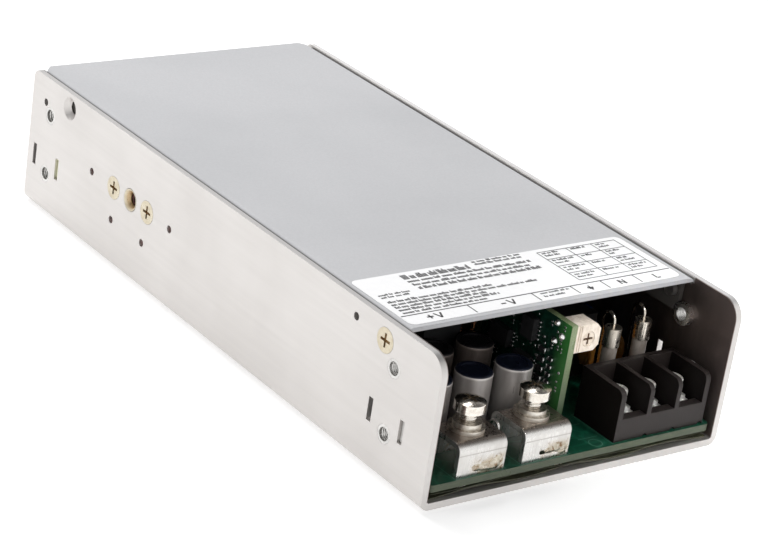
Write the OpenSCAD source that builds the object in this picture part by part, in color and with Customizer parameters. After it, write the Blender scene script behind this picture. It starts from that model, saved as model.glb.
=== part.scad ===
// Enclosed switching power supply.
// A folded aluminium channel carries a populated circuit board, and a galvanised cover closes the top
// and the rear. The front bay stays open for the output brackets and the input barrier block.
// Millimetres, +Z up. The terminal end faces -Y, and the origin is the centre of the footprint.

/* [Chassis] */
// Outside width of the folded channel
chassis_w = 81; // [74:0.5:95]
// Outside height of the side walls
chassis_h = 34; // [31:0.5:45]
// Length of the side walls
chassis_l = 165; // [150:0.5:200]
// Thickness of the aluminium sheet
chassis_t = 1.6; // [1.2:0.1:2]
// Outside radius of the two long bends
bend_r = 2.2; // [2.1:0.1:3]
// Radius of the walls' front top corners
front_corner_r = 4.5; // [2:0.5:6]
// Radius of the walls' rear top corners
rear_corner_r = 2; // [1:0.5:4]

/* [Cover] */
// Thickness of the galvanised sheet
cover_t = 1; // [0.8:0.1:1.2]
// Distance from the chassis front to the cover's front edge
cover_front = 14.2; // [12:0.2:16]
// Clearance between the cover and the side walls
cover_gap = 0.15; // [0.1:0.05:0.3]
// Outside radius of the cover's bends
cover_bend_r = 1.4; // [1.3:0.1:2]
// Depth of the cover's side flanges
cover_flange_h = 9; // [7:0.5:11]
// Distance from the chassis front to the front of the side flanges
cover_flange_front = 16.6; // [16:0.2:17]
// Distance from the rear panel to the rear of the side flanges
cover_flange_rear = 5; // [4:0.5:8]
// Gap between the chassis and the rear panel
rear_gap = 0.4; // [0.2:0.1:0.8]
// Height of the rear panel's lower edge above the ground
rear_panel_z = 0.4; // [0.2:0.1:1]
// Width of the clipped rear corners
clip_x = 3.5; // [2:0.5:5]
// Length of the clipped rear corners
clip_y = 3.8; // [2:0.2:5]

/* [Wall holes] */
// Distance from the chassis front to the front mounting holes
mount_y = 14.9; // [14:0.1:15.5]
// Distance from the chassis rear to the rear mounting holes
mount_rear = 9; // [8:0.1:10]
// Height of the lower mounting holes
mount_z = 10.25; // [10:0.05:11]
// Depth of the upper mounting holes below the top of the walls
mount_drop = 8.9; // [8.5:0.05:9.5]
// Thread radius of the clinch nuts
nut_thread_r = 1.5; // [1.25:0.25:1.5]
// Radius of the nuts' pressed shanks
nut_shank_r = 2.1; // [1.9:0.1:2.3]
// Radius of the nuts' flanges inside the wall
nut_flange_r = 2.6; // [2.5:0.1:2.8]
// Height of the nuts inside the wall
nut_flange_h = 1.2; // [1:0.1:2]
// Width of the upright slots
slot_w = 1.5; // [1:0.1:2]
// Height of the upright slots
slot_h = 5.3; // [4:0.1:6]
// Height of the lower end of the slots
slot_z = 10.6; // [9:0.1:12]
// Distances from the chassis front to the two front slots
front_slots = [9.7, 20.5]; // [5:0.1:24]
// Distances from the chassis rear to the two rear slots
rear_slots = [3.3, 14]; // [3:0.1:20]
// Radius of the countersunk screw heads
csk_head_r = 2.75; // [2.5:0.05:3]
// Depth of the countersinks
csk_depth = 1.4; // [1.2:0.1:1.5]
// Thread radius of the countersunk screws
csk_thread_r = 1.5; // [1.25:0.05:1.5]
// Distance from the chassis front to the cover screws
cover_screw_y = 19; // [18.5:0.1:20]
// Depth of the cover screws below the top of the walls
cover_screw_drop = 4.5; // [4:0.1:6]
// Distance from the chassis rear to the empty cover screw holes
spare_csk_rear = 17.5; // [16:0.1:20]
// Depth of the empty cover screw holes below the top of the walls
spare_csk_drop = 3.8; // [3.5:0.1:5]
// Radius of the small locating holes
pilot_r = 0.9; // [0.6:0.1:1.2]
// Distance from the chassis front, and depth below the top, of the cover's locating holes
cover_pilot = [29.2, 3.8]; // [2:0.1:40]
// Distance from the chassis rear, and depth below the top, of the rear locating holes
rear_pilot = [6.5, 6.3]; // [4:0.1:8]
// Distances of the upper locating holes from the middle of the transistor clamp
upper_pilots = [-17.25, 17.55]; // [-20:0.05:20]
// Distances of the lower locating holes from the middle of the transistor clamp
lower_pilots = [-6.55, 7.25]; // [-10:0.05:10]
// Depth of the lower locating holes below the clamp screws
lower_pilot_drop = 7.95; // [6:0.05:9]
// Height of the clamp screws above the transistors' lower edge
clamp_rise = 10; // [8:0.1:11]
// Distance from the chassis rear to the middle of the transistor clamp
clamp_from_rear = 47.55; // [47:0.05:52]
// Distance between the two clamp screws
clamp_pitch = 14.9; // [14.5:0.1:16]

/* [Board] */
// Thickness of the circuit board
board_t = 1.6; // [1.2:0.1:2]
// Height of the standoffs under the board
board_rise = 2; // [1.8:0.1:4]
// Distance from the chassis front to the board's front edge
board_front = 0.6; // [0.3:0.1:1]
// Gap between the board and the side walls
board_gap = 0.7; // [0.4:0.1:1]
// Gap between the board and the rear panel
board_rear = 3; // [2:0.5:4]
// Radius of the standoffs
standoff_r = 2.8; // [2.5:0.1:3]
// Thread radius of the board screws
board_screw_r = 1.25; // [1:0.05:1.5]
// Height of the board screws' heads
board_head_h = 1.8; // [1.4:0.1:2.2]
// Thickness of the insulating film under the board
film_t = 0.3; // [0.2:0.05:0.4]
// Height of the waves in the insulating film
film_wave = 0.7; // [0.4:0.1:0.8]
// Radius of the component leads
lead_r = 0.35; // [0.3:0.05:0.45]
// Clearance round leads and tabs in the board
lead_gap = 0.1; // [0.05:0.05:0.2]
// Length of the leads below the board
lead_tail = 0.6; // [0.3:0.1:0.6]

/* [Output terminals] */
// Width of an output bracket
bracket_w = 12.3; // [10:0.1:14]
// Depth of an output bracket
bracket_d = 11.5; // [10.5:0.1:12.5]
// Height of an output bracket above the board
bracket_h = 7.3; // [6:0.1:8]
// Sheet thickness of the brackets
bracket_t = 1.2; // [1:0.1:1.5]
// Outside radius of the brackets' bends
bracket_bend_r = 2; // [1.6:0.1:3]
// Distance from the chassis front to the brackets
bracket_front = 1.3; // [1:0.1:2]
// Gaps across the front: wall, bracket, bracket, control board, input block, wall
front_gaps = [7.65, 4.85, 3.2, 8.05, 2.25]; // [1:0.05:12]
// Height of the solder slot above the board
bracket_slot_z = 1.2; // [1:0.1:2]
// Height of the solder slot
bracket_slot_h = 0.9; // [0.6:0.1:1.2]
// Length of the solder slot
bracket_slot_l = 3.4; // [2:0.1:5]
// Radius of the terminal screws' heads
terminal_head_r = 3.35; // [3:0.05:3.6]
// Height of the terminal screws' heads
terminal_head_h = 2.7; // [2:0.1:3]
// Thread radius of the terminal screws
terminal_thread_r = 1.7; // [1.5:0.05:1.8]
// Height of the screw heads above the brackets
terminal_lift = 4.3; // [3:0.1:5]
// Radius of the flat washers
flat_washer_r = 3.9; // [3.7:0.1:4.5]
// Thickness of the flat washers
flat_washer_t = 0.8; // [0.6:0.1:1]
// Radius of the spring washers
spring_washer_r = 3.1; // [2.9:0.1:3.4]
// Thickness of the spring washers
spring_washer_t = 1.1; // [0.8:0.1:1.3]
// Width of the square nuts under the brackets
terminal_nut_w = 6; // [5:0.1:7]
// Thickness of the square nuts
terminal_nut_t = 2.2; // [1.8:0.1:2.4]

/* [Input block] */
// Number of terminal bays
block_bays = 3; // [2:1:3]
// Spacing of the terminal bays
block_pitch = 8; // [7.62:0.02:8.1]
// Thickness of the inner dividers
divider_t = 1.2; // [1:0.1:1.5]
// Thickness of the end walls
block_end_t = 1.4; // [1:0.1:1.6]
// Depth of the block
block_d = 13.1; // [12.5:0.1:14]
// Distance from the chassis front to the block
block_front = 1.4; // [0.8:0.1:2]
// Height of the block's front lip above the board
block_lip_h = 5.3; // [4.5:0.1:6]
// Depth of the front lip
block_lip_t = 2.2; // [1.5:0.1:3]
// Height of the bay floors above the board
block_floor = 3.5; // [3:0.1:4.5]
// Height of the dividers at the front
divider_front_h = 12; // [10:0.1:13]
// Height of the dividers at the rear
divider_rear_h = 12.1; // [11.5:0.1:13]
// Radius of the dividers' front corners
divider_corner_r = 1.6; // [1:0.1:3]
// Thickness of the block's rear wall
block_rear_t = 1.4; // [1:0.1:2]
// Thickness of the terminal plates and clamps
input_plate_t = 0.8; // [0.6:0.1:1]
// Radius of the input screws' heads
input_head_r = 2.6; // [2.2:0.1:2.8]
// Height of the input screws' heads
input_head_h = 2; // [1.5:0.1:2.3]
// Lift of the input screws above their clamps
input_lift = 2.2; // [0:0.1:3]
// Thread radius of the input screws
input_thread_r = 1.4; // [1.25:0.05:1.5]

/* [Output capacitors] */
// Diameter of an output capacitor
cap_d = 8.2; // [7:0.1:9]
// Height of an output capacitor
cap_h = 14.8; // [12:0.1:20]
// Gaps across a row of capacitors: wall, first, second, third, control board
cap_gaps = [7, 2.5, 2.5, 3.7]; // [1:0.1:10]
// Spacing of the capacitor rows along the board
cap_pitch_y = 11.4; // [10:0.1:12]
// Sideways step of the second row of capacitors
cap_row_step = 1.7; // [0:0.1:2]

/* [Control board] */
// Thickness of the control board
control_t = 1.6; // [1:0.1:2]
// Distance from the chassis front to the control board
control_front = 10; // [9:0.1:12]
// Length of the control board
control_l = 28; // [26:0.5:29]
// Width of the trimmer
trimmer_w = 6.6; // [6:0.1:7]
// Depth of the trimmer
trimmer_d = 5; // [4.8:0.1:5.5]
// Height of the trimmer
trimmer_h = 6.2; // [6:0.1:7]
// Distance from the control board's top edge to the trimmer
trimmer_drop = 0.3; // [0:0.1:2]
// Radius of the trimmer's rotor
rotor_r = 1.7; // [1.4:0.1:2]
// Depth of the trimmer's rotor
rotor_d = 2.4; // [1.5:0.1:3]
// Running clearance round the rotor
rotor_gap = 0.05; // [0.03:0.01:0.08]

/* [Line filter] */
// Radius of the fuse tubes
fuse_r = 1.7; // [1.4:0.1:2]
// Height of the fuses with their caps
fuse_h = 17; // [14:0.5:18]
// Length of a fuse cap
fuse_cap_l = 4.4; // [3:0.1:5]
// Wall of a fuse cap
fuse_cap_t = 0.2; // [0.15:0.05:0.3]
// Distances from the right wall to the line and neutral fuses
fuse_from_wall = [17.4, 7.9]; // [6:0.1:20]
// Distances from the input block to the line and neutral fuses
fuse_from_block = [3.8, 4.7]; // [3:0.1:5]
// Distance from a fuse to its return lead
fuse_lead_span = 3.6; // [3:0.1:4]
// Diameter of the varistor disc
varistor_d = 11; // [9:0.5:12]
// Thickness of the varistor disc
varistor_t = 3.5; // [3:0.1:4]
// Width of the line capacitors
line_cap_w = 18; // [16:0.5:20]
// Depth of the line capacitors
line_cap_d = 8; // [6:0.5:8.5]
// Height of the line capacitors
line_cap_h = 15; // [12:0.5:18]
// Diameter of the disc capacitors
disc_d = 8; // [6:0.5:9]
// Thickness of the disc capacitors
disc_t = 2.6; // [2:0.1:3]
// Ring radius of the filter choke's core
filter_ring_r = 9; // [8.5:0.1:9.2]
// Section radius of the filter choke's core
filter_core_r = 3.2; // [3:0.1:3.3]
// Radius of the filter choke's wire
filter_wire_r = 0.5; // [0.4:0.05:0.55]
// Width of the relay
relay_w = 20; // [16:0.5:21]
// Depth of the relay
relay_d = 10; // [8:0.5:10]
// Height of the relay
relay_h = 15; // [12:0.5:18]
// Diameter of the thermistor disc
thermistor_d = 9; // [7:0.5:10]
// Thickness of the thermistor disc
thermistor_t = 3.6; // [3:0.1:4]
// Width of the bridge rectifier
bridge_w = 22; // [20:0.5:24]
// Thickness of the bridge rectifier
bridge_d = 3.6; // [3:0.1:4]
// Height of the bridge rectifier
bridge_h = 14; // [12:0.5:16]

/* [Power stage] */
// Diameter of the bulk capacitors
bulk_d = 20; // [18:0.5:20.5]
// Headroom under the cover over the tall parts
headroom = 1.5; // [1:0.1:2]
// Width of the transformer core
transformer_w = 34; // [32:0.5:35]
// Length of one half of the transformer core
transformer_half_l = 16; // [14:0.5:16.5]
// Thickness of the transformer core
transformer_core_t = 14; // [12:0.5:16]
// Width of the storage choke's core
choke_w = 30; // [28:0.5:31]
// Length of one half of the storage choke's core
choke_half_l = 10.4; // [10:0.2:10.6]
// Thickness of the storage choke's core
choke_core_t = 14; // [12:0.5:16]
// Width of the cores' outer legs
core_leg = 4.5; // [4:0.1:5]
// Width of the cores' middle legs
core_mid = 9; // [8:0.5:10]
// Wall thickness of the bobbins
bobbin_t = 1; // [0.8:0.1:1.2]
// Fitting clearance of cores, bobbins and windings
fit_gap = 0.15; // [0.1:0.05:0.2]
// Ring radius of the output choke's core
output_ring_r = 8.5; // [8.2:0.1:8.8]
// Section radius of the output choke's core
output_core_r = 3.4; // [3.2:0.1:3.5]
// Radius of the output choke's wire
output_wire_r = 0.8; // [0.6:0.05:0.8]
// Body width of the power transistors
transistor_w = 10; // [9:0.1:10.4]
// Body height of the power transistors
transistor_h = 15.5; // [14:0.1:17]
// Body thickness of the power transistors
transistor_t = 4.5; // [4:0.1:5]
// Gap between the transistors and the cover's flange
flange_gap = 0.3; // [0.2:0.1:1]
// Thickness of the thermal pad
pad_t = 0.5; // [0.3:0.1:0.8]
// Thickness of the clamp bar
clamp_t = 1.6; // [1.2:0.1:2]
// Height of the clamp bar
clamp_h = 8; // [6:0.5:10]
// Width of the rectifier heatsink
sink_w = 28; // [26:0.5:30]
// Plate thickness of the heatsinks
sink_t = 2.2; // [1.6:0.1:3]
// Fin length of the heatsinks
sink_fin_l = 6; // [4:0.5:6.5]
// Height of the heatsinks
sink_h = 20; // [18:0.5:22]

/* [Hidden] */
$fn = 48;

// Overall length, and the heights and half widths that everything inside refers to
overall_l = chassis_l + rear_gap + cover_t;
inner = chassis_w / 2 - chassis_t;
board_z = chassis_t + board_rise;
board_top = board_z + board_t;
board_end = overall_l - cover_t - board_rear;
cover_half = inner - cover_gap;
cover_under = chassis_h - cover_t;
rear_bend_reach = 1.5 * cover_bend_r;
cover_screw_z = chassis_h - cover_screw_drop;
tall_top = cover_under - headroom;
lead_end = board_z - lead_tail;
over = 1;
press_gap = 0.02;
screw_gap = 0.05;
seat_gap = 0.1;
recess_span = 1.15;
recess_depth = 0.55;
head_shoulder = 0.3;
head_dome = 2.4;
screw_end = 0.6;

// Sum of a list of gaps
function total(v, i = 0) = i < len(v) ? v[i] + total(v, i + 1) : 0;

// Corners of the mounting pattern, and the clamp screws
mount_points = [for (y = [mount_y, chassis_l - mount_rear])
    for (z = [mount_z, chassis_h - mount_drop]) [y, z]];
transistor_z = chassis_h - cover_flange_h - flange_gap - transistor_h;
clamp_y = chassis_l - clamp_from_rear;
clamp_z = transistor_z + clamp_rise;
clamp_screw_y = [clamp_y - clamp_pitch / 2, clamp_y + clamp_pitch / 2];
wall_pilots = concat([for (d = upper_pilots) [clamp_y + d, clamp_z]],
    [for (d = lower_pilots) [clamp_y + d, clamp_z - lower_pilot_drop]]);
csk_hole_r = csk_thread_r + screw_gap;

board_hole_r = board_screw_r + seat_gap;
board_corner_r = 1;

// Insulating film across the chassis floor
film_half = inner - board_gap;
film_inset = 0.6;
film_front = board_front + film_inset;
film_hole = 2 * standoff_r + 4 * seat_gap;
film_waves = 3;
film_steps = 36;
film_xs = [for (i = [0 : film_steps]) film_half * (2 * i / film_steps - 1)];

// Across the front: the free width is shared out over the gaps
bay_w = block_pitch - divider_t;
block_w = block_bays * block_pitch - divider_t + 2 * block_end_t;
front_fit = (2 * inner - 2 * bracket_w - control_t - block_w) / total(front_gaps);
bracket_left = -inner + front_fit * front_gaps[0];
bracket_pitch = bracket_w + front_fit * front_gaps[1];
control_x = bracket_left + bracket_pitch + bracket_w + front_fit * front_gaps[2];
control_right = control_x + control_t;
block_left = control_right + front_fit * front_gaps[3];
block_right = block_left + block_w;

// Output terminals
bracket_x = [for (i = [0, 1]) bracket_left + bracket_w / 2 + i * bracket_pitch];
bracket_top = board_top + bracket_h;
bracket_rear = bracket_front + bracket_d;
terminal_shift = 0.7;
terminal_y = bracket_front + bracket_d / 2 + terminal_shift;
terminal_hole_r = terminal_thread_r + seat_gap;
tab_w = 2;
tab_offset = bracket_w / 2 - tab_w;
head_z = bracket_top + terminal_lift;
thread_end = 0.8;
terminal_tip = bracket_top - bracket_t - terminal_nut_t - thread_end;
split_w = 0.6;
split_lean = 20;
split_turn = 40;

// Input block
block_back = block_front + block_d;
bay_floor = board_top + block_floor;
bay_x = [for (i = [0 : block_bays - 1]) block_left + block_end_t + bay_w / 2 + i * block_pitch];
plate_gap = 0.4;
plate_w = bay_w - 2 * plate_gap;
plate_inset = block_lip_t + 4 * plate_gap;
plate_rear = 1.6;
plate_front = block_front + plate_inset;
plate_l = block_d - block_rear_t - plate_inset - plate_rear;
input_screw_inset = 0.6;
input_screw_y = plate_front + input_head_r + input_screw_inset;
input_screw_floor = 1.5;
input_screw_l = 2 * input_plate_t + input_lift + block_floor - input_screw_floor;
clamp_margin = 0.2;
notch_r = 0.6;
pin_y = plate_front + plate_l;
pin_w = 1.2;

// Output capacitors, row by row from the left
cap_gap = 0.3;
cap_row_y = bracket_rear + cap_gap + cap_d / 2;
cap_rim = 0.6;
cap_lead_reach = 1.7;
cap_fit = (control_x + inner - (len(cap_gaps) - 1) * cap_d) / total(cap_gaps);
cap_xs = [for (i = [0 : 2])
    -inner + cap_d / 2 + i * cap_d + cap_fit * total([for (k = [0 : i]) cap_gaps[k]])];
cap_points = [for (row = [0, 1]) for (x = cap_xs)
    [x - row * cap_fit * cap_row_step, cap_row_y + row * cap_pitch_y]];

// Control board and trimmer
control_drop = 1.5;
control_top = tall_top - control_drop;
trimmer_z = control_top - trimmer_drop - trimmer_h;
rotor_shift = 0.2;
rotor_x = control_right + trimmer_w / 2 + rotor_shift;
rotor_z = trimmer_z + trimmer_h / 2 - rotor_shift;
trimmer_bevel = 1.2;
trimmer_groove = 0.25;
trimmer_groove_pitch = 0.6;
// Trimmer pins: distance behind the trimmer's face and height above its base
trimmer_pin_at = [[4.5, 5.4], [2.5, 3.1], [4.5, 1.2]];
trimmer_pins = [for (d = trimmer_pin_at) [control_front + d[0], trimmer_z + d[1]]];
trimmer_pin_tail = 0.7;
lead_pitch = 2.54;
control_pin_r = 0.32;
control_pin_inset = 3;
control_pin_y = [for (i = [0 : 4]) control_front + control_l - control_pin_inset - i * lead_pitch];
control_pin_offset = 1.2;
control_pin_rise = 2.4;
control_pin_x = control_x - control_pin_offset;
control_pin_z = board_top + control_pin_rise;
control_pin_tail = 0.8;
// Rows of chips on the control board: first place along and up the board, step, count, and size
chip_at = [[4, 7.6], [6.5, 9], [18, 19], [10, 9], [10, 17], [17.5, 12]];
chip_step = [[0, 1.8], [0, 2.2], [2.6, 0], [0, 0], [0, 0], [0, 0]];
chip_count = [5, 4, 3, 1, 1, 1];
chip_size = [[1.2, 0.8, 0.5], [2, 1.2, 0.6], [1.6, 0.9, 0.6], [5, 4, 1.6], [4, 5, 1.6], [6, 4, 1.6]];

// Line filter, from the input block to the rear
fuse_x = [for (d = fuse_from_wall) inner - d];
fuse_y = [for (d = fuse_from_block) block_back + d];
fuse_rise = 0.8;
fuse_z = board_top + fuse_rise;
fuse_top = fuse_z + fuse_h;
fuse_lead_rise = 1;
fuse_cap_r = fuse_r + fuse_cap_t;
varistor_x = (fuse_x[0] + fuse_x[1]) / 2;
part_gap = 0.6;
disc_rise = 2.4;
varistor_y = max(fuse_y) + fuse_lead_span + lead_r + part_gap + varistor_t / 2;
varistor_z = board_top + disc_rise + varistor_d / 2;
box_r = 0.6;
filter_gap = 0.1;
filter_turn_r = filter_core_r + filter_gap + filter_wire_r;
filter_reach = filter_ring_r + filter_turn_r;
filter_outer = filter_reach + filter_wire_r;
filter_from_wall = 17.5;
filter_x = inner - filter_from_wall;
filter_z = board_top + filter_turn_r + filter_wire_r + seat_gap;
wire_taper = 0.9;
filter_lead_r = wire_taper * filter_wire_r;
filter_turns = 10;
filter_arc = 70;
// Power stage: bulk capacitors from the right wall and the rear, storage choke from the left wall
bulk_at = [[24.4, 32.5], [11.9, 15]];
choke_at = [19, 15];
bulk_points = [for (d = bulk_at) [inner - d[0], chassis_l - d[1]]];
bulk_h = tall_top - board_top;
bulk_rim = 1;
choke_x = -inner + choke_at[0];
choke_y = chassis_l - choke_at[1];
wind_gap = 0.6;
wind_r = 2;
wind_h = tall_top - board_top - 2 * wind_gap;
core_z = board_top + wind_gap + wind_h / 2;
output_turn_r = output_core_r + filter_gap + output_wire_r;
output_outer = output_ring_r + output_turn_r + output_wire_r;
output_from_wall = 19;
output_choke_x = -inner + output_from_wall;
output_choke_z = board_top + output_turn_r + output_wire_r + seat_gap;
output_lead_r = wire_taper * output_wire_r;
output_turns = 12;
output_arc = 150;
transistor_back = -inner + pad_t;
transistor_y = [for (i = [-1 : 1]) clamp_y + i * clamp_pitch];
package_bevel = [1.8, 2.5];
clamp_inset = 1;
clamp_l = 2 * (clamp_pitch + transistor_w / 2 - clamp_inset);
sink_from_wall = 18.5;
sink_fin_t = 1.2;
sink_fins = 7;
sink_x = -inner + sink_from_wall;
sink_y = cap_row_y + cap_pitch_y + cap_d / 2 + transistor_t + part_gap;
rectifier_x = [sink_x - sink_w / 4, sink_x + sink_w / 4];
bridge_margin = 2;
bridge_sink_w = bridge_w + 2 * bridge_margin;
bridge_fins = 6;

// Across the middle: transistor clamp, transformer, relay, thermistor and wall share the free width
mid_gaps = [2.8, 3.4, 4, 2.8];
clamp_stack = pad_t + transistor_t + clamp_t + screw_end;
mid_fit = (2 * inner - clamp_stack - transformer_w - relay_w - thermistor_t) / total(mid_gaps);
transformer_x = -inner + clamp_stack + mid_fit * mid_gaps[0] + transformer_w / 2;
transformer_right = transformer_x + transformer_w / 2;
relay_x = transformer_right + mid_fit * mid_gaps[1] + relay_w / 2;
thermistor_x = relay_x + relay_w / 2 + mid_fit * mid_gaps[2] + thermistor_t / 2;
bridge_x = (transformer_right + inner) / 2;
disc_from_wall = 4.2;
disc_x = inner - disc_from_wall;
line_cap_x = [(control_right + control_pin_tail + disc_x - disc_t / 2) / 2, relay_x];

// Along the right: varistor, line capacitor, filter, line capacitor, relay, bridge and bulk capacitor
right_gaps = [2.4, 4, 3.2, 4.5, 4.4, 12.3];
bridge_stack = bridge_d + sink_t + sink_fin_l;
right_start = varistor_y + varistor_t / 2;
right_end = bulk_points[0][1] - bulk_d / 2;
right_parts = 2 * line_cap_d + 2 * filter_outer + relay_d + bridge_stack;
right_fit = (right_end - right_start - right_parts) / total(right_gaps);
line_cap_1_y = right_start + right_fit * right_gaps[0] + line_cap_d / 2;
filter_y = line_cap_1_y + line_cap_d / 2 + right_fit * right_gaps[1] + filter_outer;
line_cap_2_y = filter_y + filter_outer + right_fit * right_gaps[2] + line_cap_d / 2;
line_cap_y = [line_cap_1_y, line_cap_2_y];
relay_y = line_cap_2_y + line_cap_d / 2 + right_fit * right_gaps[3] + relay_d / 2;
thermistor_y = relay_y;
bridge_y = relay_y + relay_d / 2 + right_fit * right_gaps[4] + bridge_d;
disc_reach = 13;
disc_points = [for (s = [-1, 1]) [disc_x, filter_y + s * disc_reach]];

// Along the left: rectifier heatsink, output choke, transformer and storage choke
left_gaps = [0.4, 4.4, 29.6];
left_start = sink_y + sink_t + sink_fin_l;
left_parts = 2 * output_outer + 2 * transformer_half_l;
left_fit = (choke_y - choke_half_l - left_start - left_parts) / total(left_gaps);
output_choke_y = left_start + left_fit * left_gaps[0] + output_outer;
transformer_y = output_choke_y + output_outer + left_fit * left_gaps[1] + transformer_half_l;

// Standoffs: front, then beside the rear line capacitor, then from the right wall and the chassis rear
standoff_wall = 4.2;
front_standoffs = [22.5, 28];
rear_standoffs = [[5.5, 36], [31, 9]];
standoff_points = concat(
    [for (i = [0, 1]) [(2 * i - 1) * (inner - standoff_wall), front_standoffs[i]]],
    [for (s = [-1, 1]) [s * (inner - standoff_wall), line_cap_2_y]],
    [for (d = rear_standoffs) [inner - d[0], chassis_l - d[1]]]);

// Leads that pass through the main board: [x, y, radius]
function pair(x, y, s, r = lead_r) = [[x - s, y, r], [x + s, y, r]];
function row3(x, y, r = lead_r) = [for (i = [-1 : 1]) [x + i * lead_pitch, y, r]];
function column3(x, y, r = lead_r) = [for (i = [-1 : 1]) [x, y + i * lead_pitch, r]];
function bobbin_leads(x, y, l) =
    [for (s = [-1, 1]) for (i = [-2 : 2]) [x + i * 2 * lead_pitch, y + s * l, lead_r]];
function choke_leads(x, y, reach, r, angles) =
    [for (a = angles) [x + reach * cos(a), y + reach * sin(a), r]];
filter_angles = [-filter_arc, filter_arc, 180 - filter_arc, 180 + filter_arc];
output_angles = [-output_arc, output_arc];
output_reach = output_ring_r + output_turn_r;
transformer_leads = bobbin_leads(transformer_x, transformer_y, transformer_half_l - core_leg / 2);
storage_leads = bobbin_leads(choke_x, choke_y, choke_half_l - core_leg / 2);
filter_leads = choke_leads(filter_x, filter_y, filter_reach, filter_lead_r, filter_angles);
output_choke_leads =
    choke_leads(output_choke_x, output_choke_y, output_reach, output_lead_r, output_angles);
bulk_lead_reach = 5;
line_cap_lead_inset = 1.5;
disc_lead_reach = 2.5;
varistor_lead_reach = 3.5;
thermistor_lead_reach = 3;
relay_lead_reach = [7, 3];
cap_leads = [for (p = cap_points) for (q = pair(p[0], p[1], cap_lead_reach)) q];
bulk_leads = [for (p = bulk_points) for (q = pair(p[0], p[1], bulk_lead_reach, 2 * lead_r)) q];
fuse_leads = [for (i = [0, 1]) for (d = [0, fuse_lead_span]) [fuse_x[i], fuse_y[i] + d, lead_r]];
line_cap_leads = [for (i = [0, 1])
    for (q = pair(line_cap_x[i], line_cap_y[i], line_cap_w / 2 - line_cap_lead_inset)) q];
disc_leads = [for (p = disc_points) for (s = [-1, 1]) [p[0], p[1] + s * disc_lead_reach, lead_r]];
varistor_leads = pair(varistor_x, varistor_y, varistor_lead_reach);
thermistor_leads = [for (s = [-1, 1]) [thermistor_x, thermistor_y + s * thermistor_lead_reach, lead_r]];
relay_leads = [for (i = [-1 : 1]) for (s = [-1, 1])
    [relay_x + i * relay_lead_reach[0], relay_y + s * relay_lead_reach[1], lead_r]];
link_x = (bracket_x[0] + bracket_x[1]) / 2;
link_span = 2.6;
link_drop = 0.5;
link_back = 1;
link_y = terminal_y + link_back;
link_leads = [[link_x, link_y - link_span / 2, lead_r], [link_x, link_y + link_span / 2, lead_r]];
transistor_leads = [for (y = transistor_y) for (q = column3(transistor_back + transistor_t / 2, y)) q];
rectifier_leads = [for (x = rectifier_x) for (q = row3(x, sink_y - transistor_t / 2)) q];
bridge_leads = [for (i = [-1.5 : 1.5]) [bridge_x + i * 2 * lead_pitch, bridge_y - bridge_d / 2, lead_r]];
board_leads = concat(cap_leads, bulk_leads, fuse_leads, line_cap_leads, disc_leads, relay_leads, link_leads,
    transistor_leads, rectifier_leads, bridge_leads, varistor_leads, thermistor_leads,
    filter_leads, output_choke_leads,
    transformer_leads, storage_leads,
    [for (y = control_pin_y) [control_pin_x, y, control_pin_r]]);

// Moves the front edge of the chassis to its place in the part's own frame
module place() translate([0, -overall_l / 2, 0]) children();

// Local z runs inwards from the outer face of a side wall, local x up or down
module to_wall(side, y, z) translate([side * chassis_w / 2, y, z]) rotate([0, -side * 90, 0]) children();

// Outlines and simple solids
module channel_2d(w, h, r) {
    translate([-w / 2, r]) square([w, h - r]);
    translate([-w / 2 + r, 0]) square([w - 2 * r, h]);
    for (s = [-1, 1]) translate([s * (w / 2 - r), r]) circle(r);
}
module rounded_2d(w, d, r) {
    square([w - 2 * r, d], center = true);
    square([w, d - 2 * r], center = true);
    for (sx = [-1, 1], sy = [-1, 1]) translate([sx * (w / 2 - r), sy * (d / 2 - r)]) circle(r);
}
module rounded_box(w, d, h, r) linear_extrude(h) rounded_2d(w, d, r);
module along_y(y0, y1) translate([0, y1, 0]) rotate([90, 0, 0]) linear_extrude(y1 - y0) children();
module along_x(w) translate([-w / 2, 0, 0]) rotate([90, 0, 90]) linear_extrude(w) children();
module torus(ring, r) rotate_extrude() translate([ring, 0]) circle(r);
module lead(p, top) translate([p[0], p[1], lead_end]) cylinder(r = p[2], h = top - lead_end);
module leads(list, top) for (p = list) lead(p, top);

// Crossed recess of a screw head, cut downwards from z = 0
module cross_recess(size, depth) {
    arm = size / 5;
    for (a = [0, 90]) rotate(a) translate([-size / 2, -arm / 2, -depth]) cube([size, arm, depth + over]);
}
module domed_screw(head_r, head_h, thread_r, tip) {
    edge_r = head_r * head_shoulder;
    dome_r = head_r * head_dome;
    difference() {
        intersection() {
            rotate_extrude() {
                square([head_r, head_h - edge_r]);
                square([head_r - edge_r, head_h]);
                translate([head_r - edge_r, head_h - edge_r]) circle(edge_r);
            }
            translate([0, 0, head_h - dome_r]) sphere(dome_r);
        }
        translate([0, 0, head_h]) cross_recess(head_r * recess_span, head_h * recess_depth);
    }
    translate([0, 0, -tip]) cylinder(r = thread_r, h = tip + head_h * (1 - recess_depth) / 2);
}
module csk_screw(l) {
    difference() {
        union() {
            cylinder(r1 = csk_head_r - press_gap, r2 = csk_thread_r, h = csk_depth);
            translate([0, 0, csk_depth]) cylinder(r = csk_thread_r, h = l - csk_depth);
        }
        mirror([0, 0, 1]) cross_recess(csk_head_r * recess_span, csk_depth * recess_depth);
    }
}
module csk_hole() {
    cylinder(r1 = csk_head_r + screw_gap, r2 = csk_hole_r, h = csk_depth);
    translate([0, 0, -over]) cylinder(r = csk_hole_r, h = chassis_t + 2 * over);
}
module can(d, h, rim) rotate_extrude() difference() {
    union() {
        square([d / 2, h - rim]);
        square([d / 2 - rim, h]);
        translate([d / 2 - rim, h - rim]) circle(rim);
    }
    translate([0, h - rim / 2]) square([d / 2 - 2 * rim, rim]);
    translate([d / 2 + rim / 3, 3 * rim]) circle(rim * 0.9);
}

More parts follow.
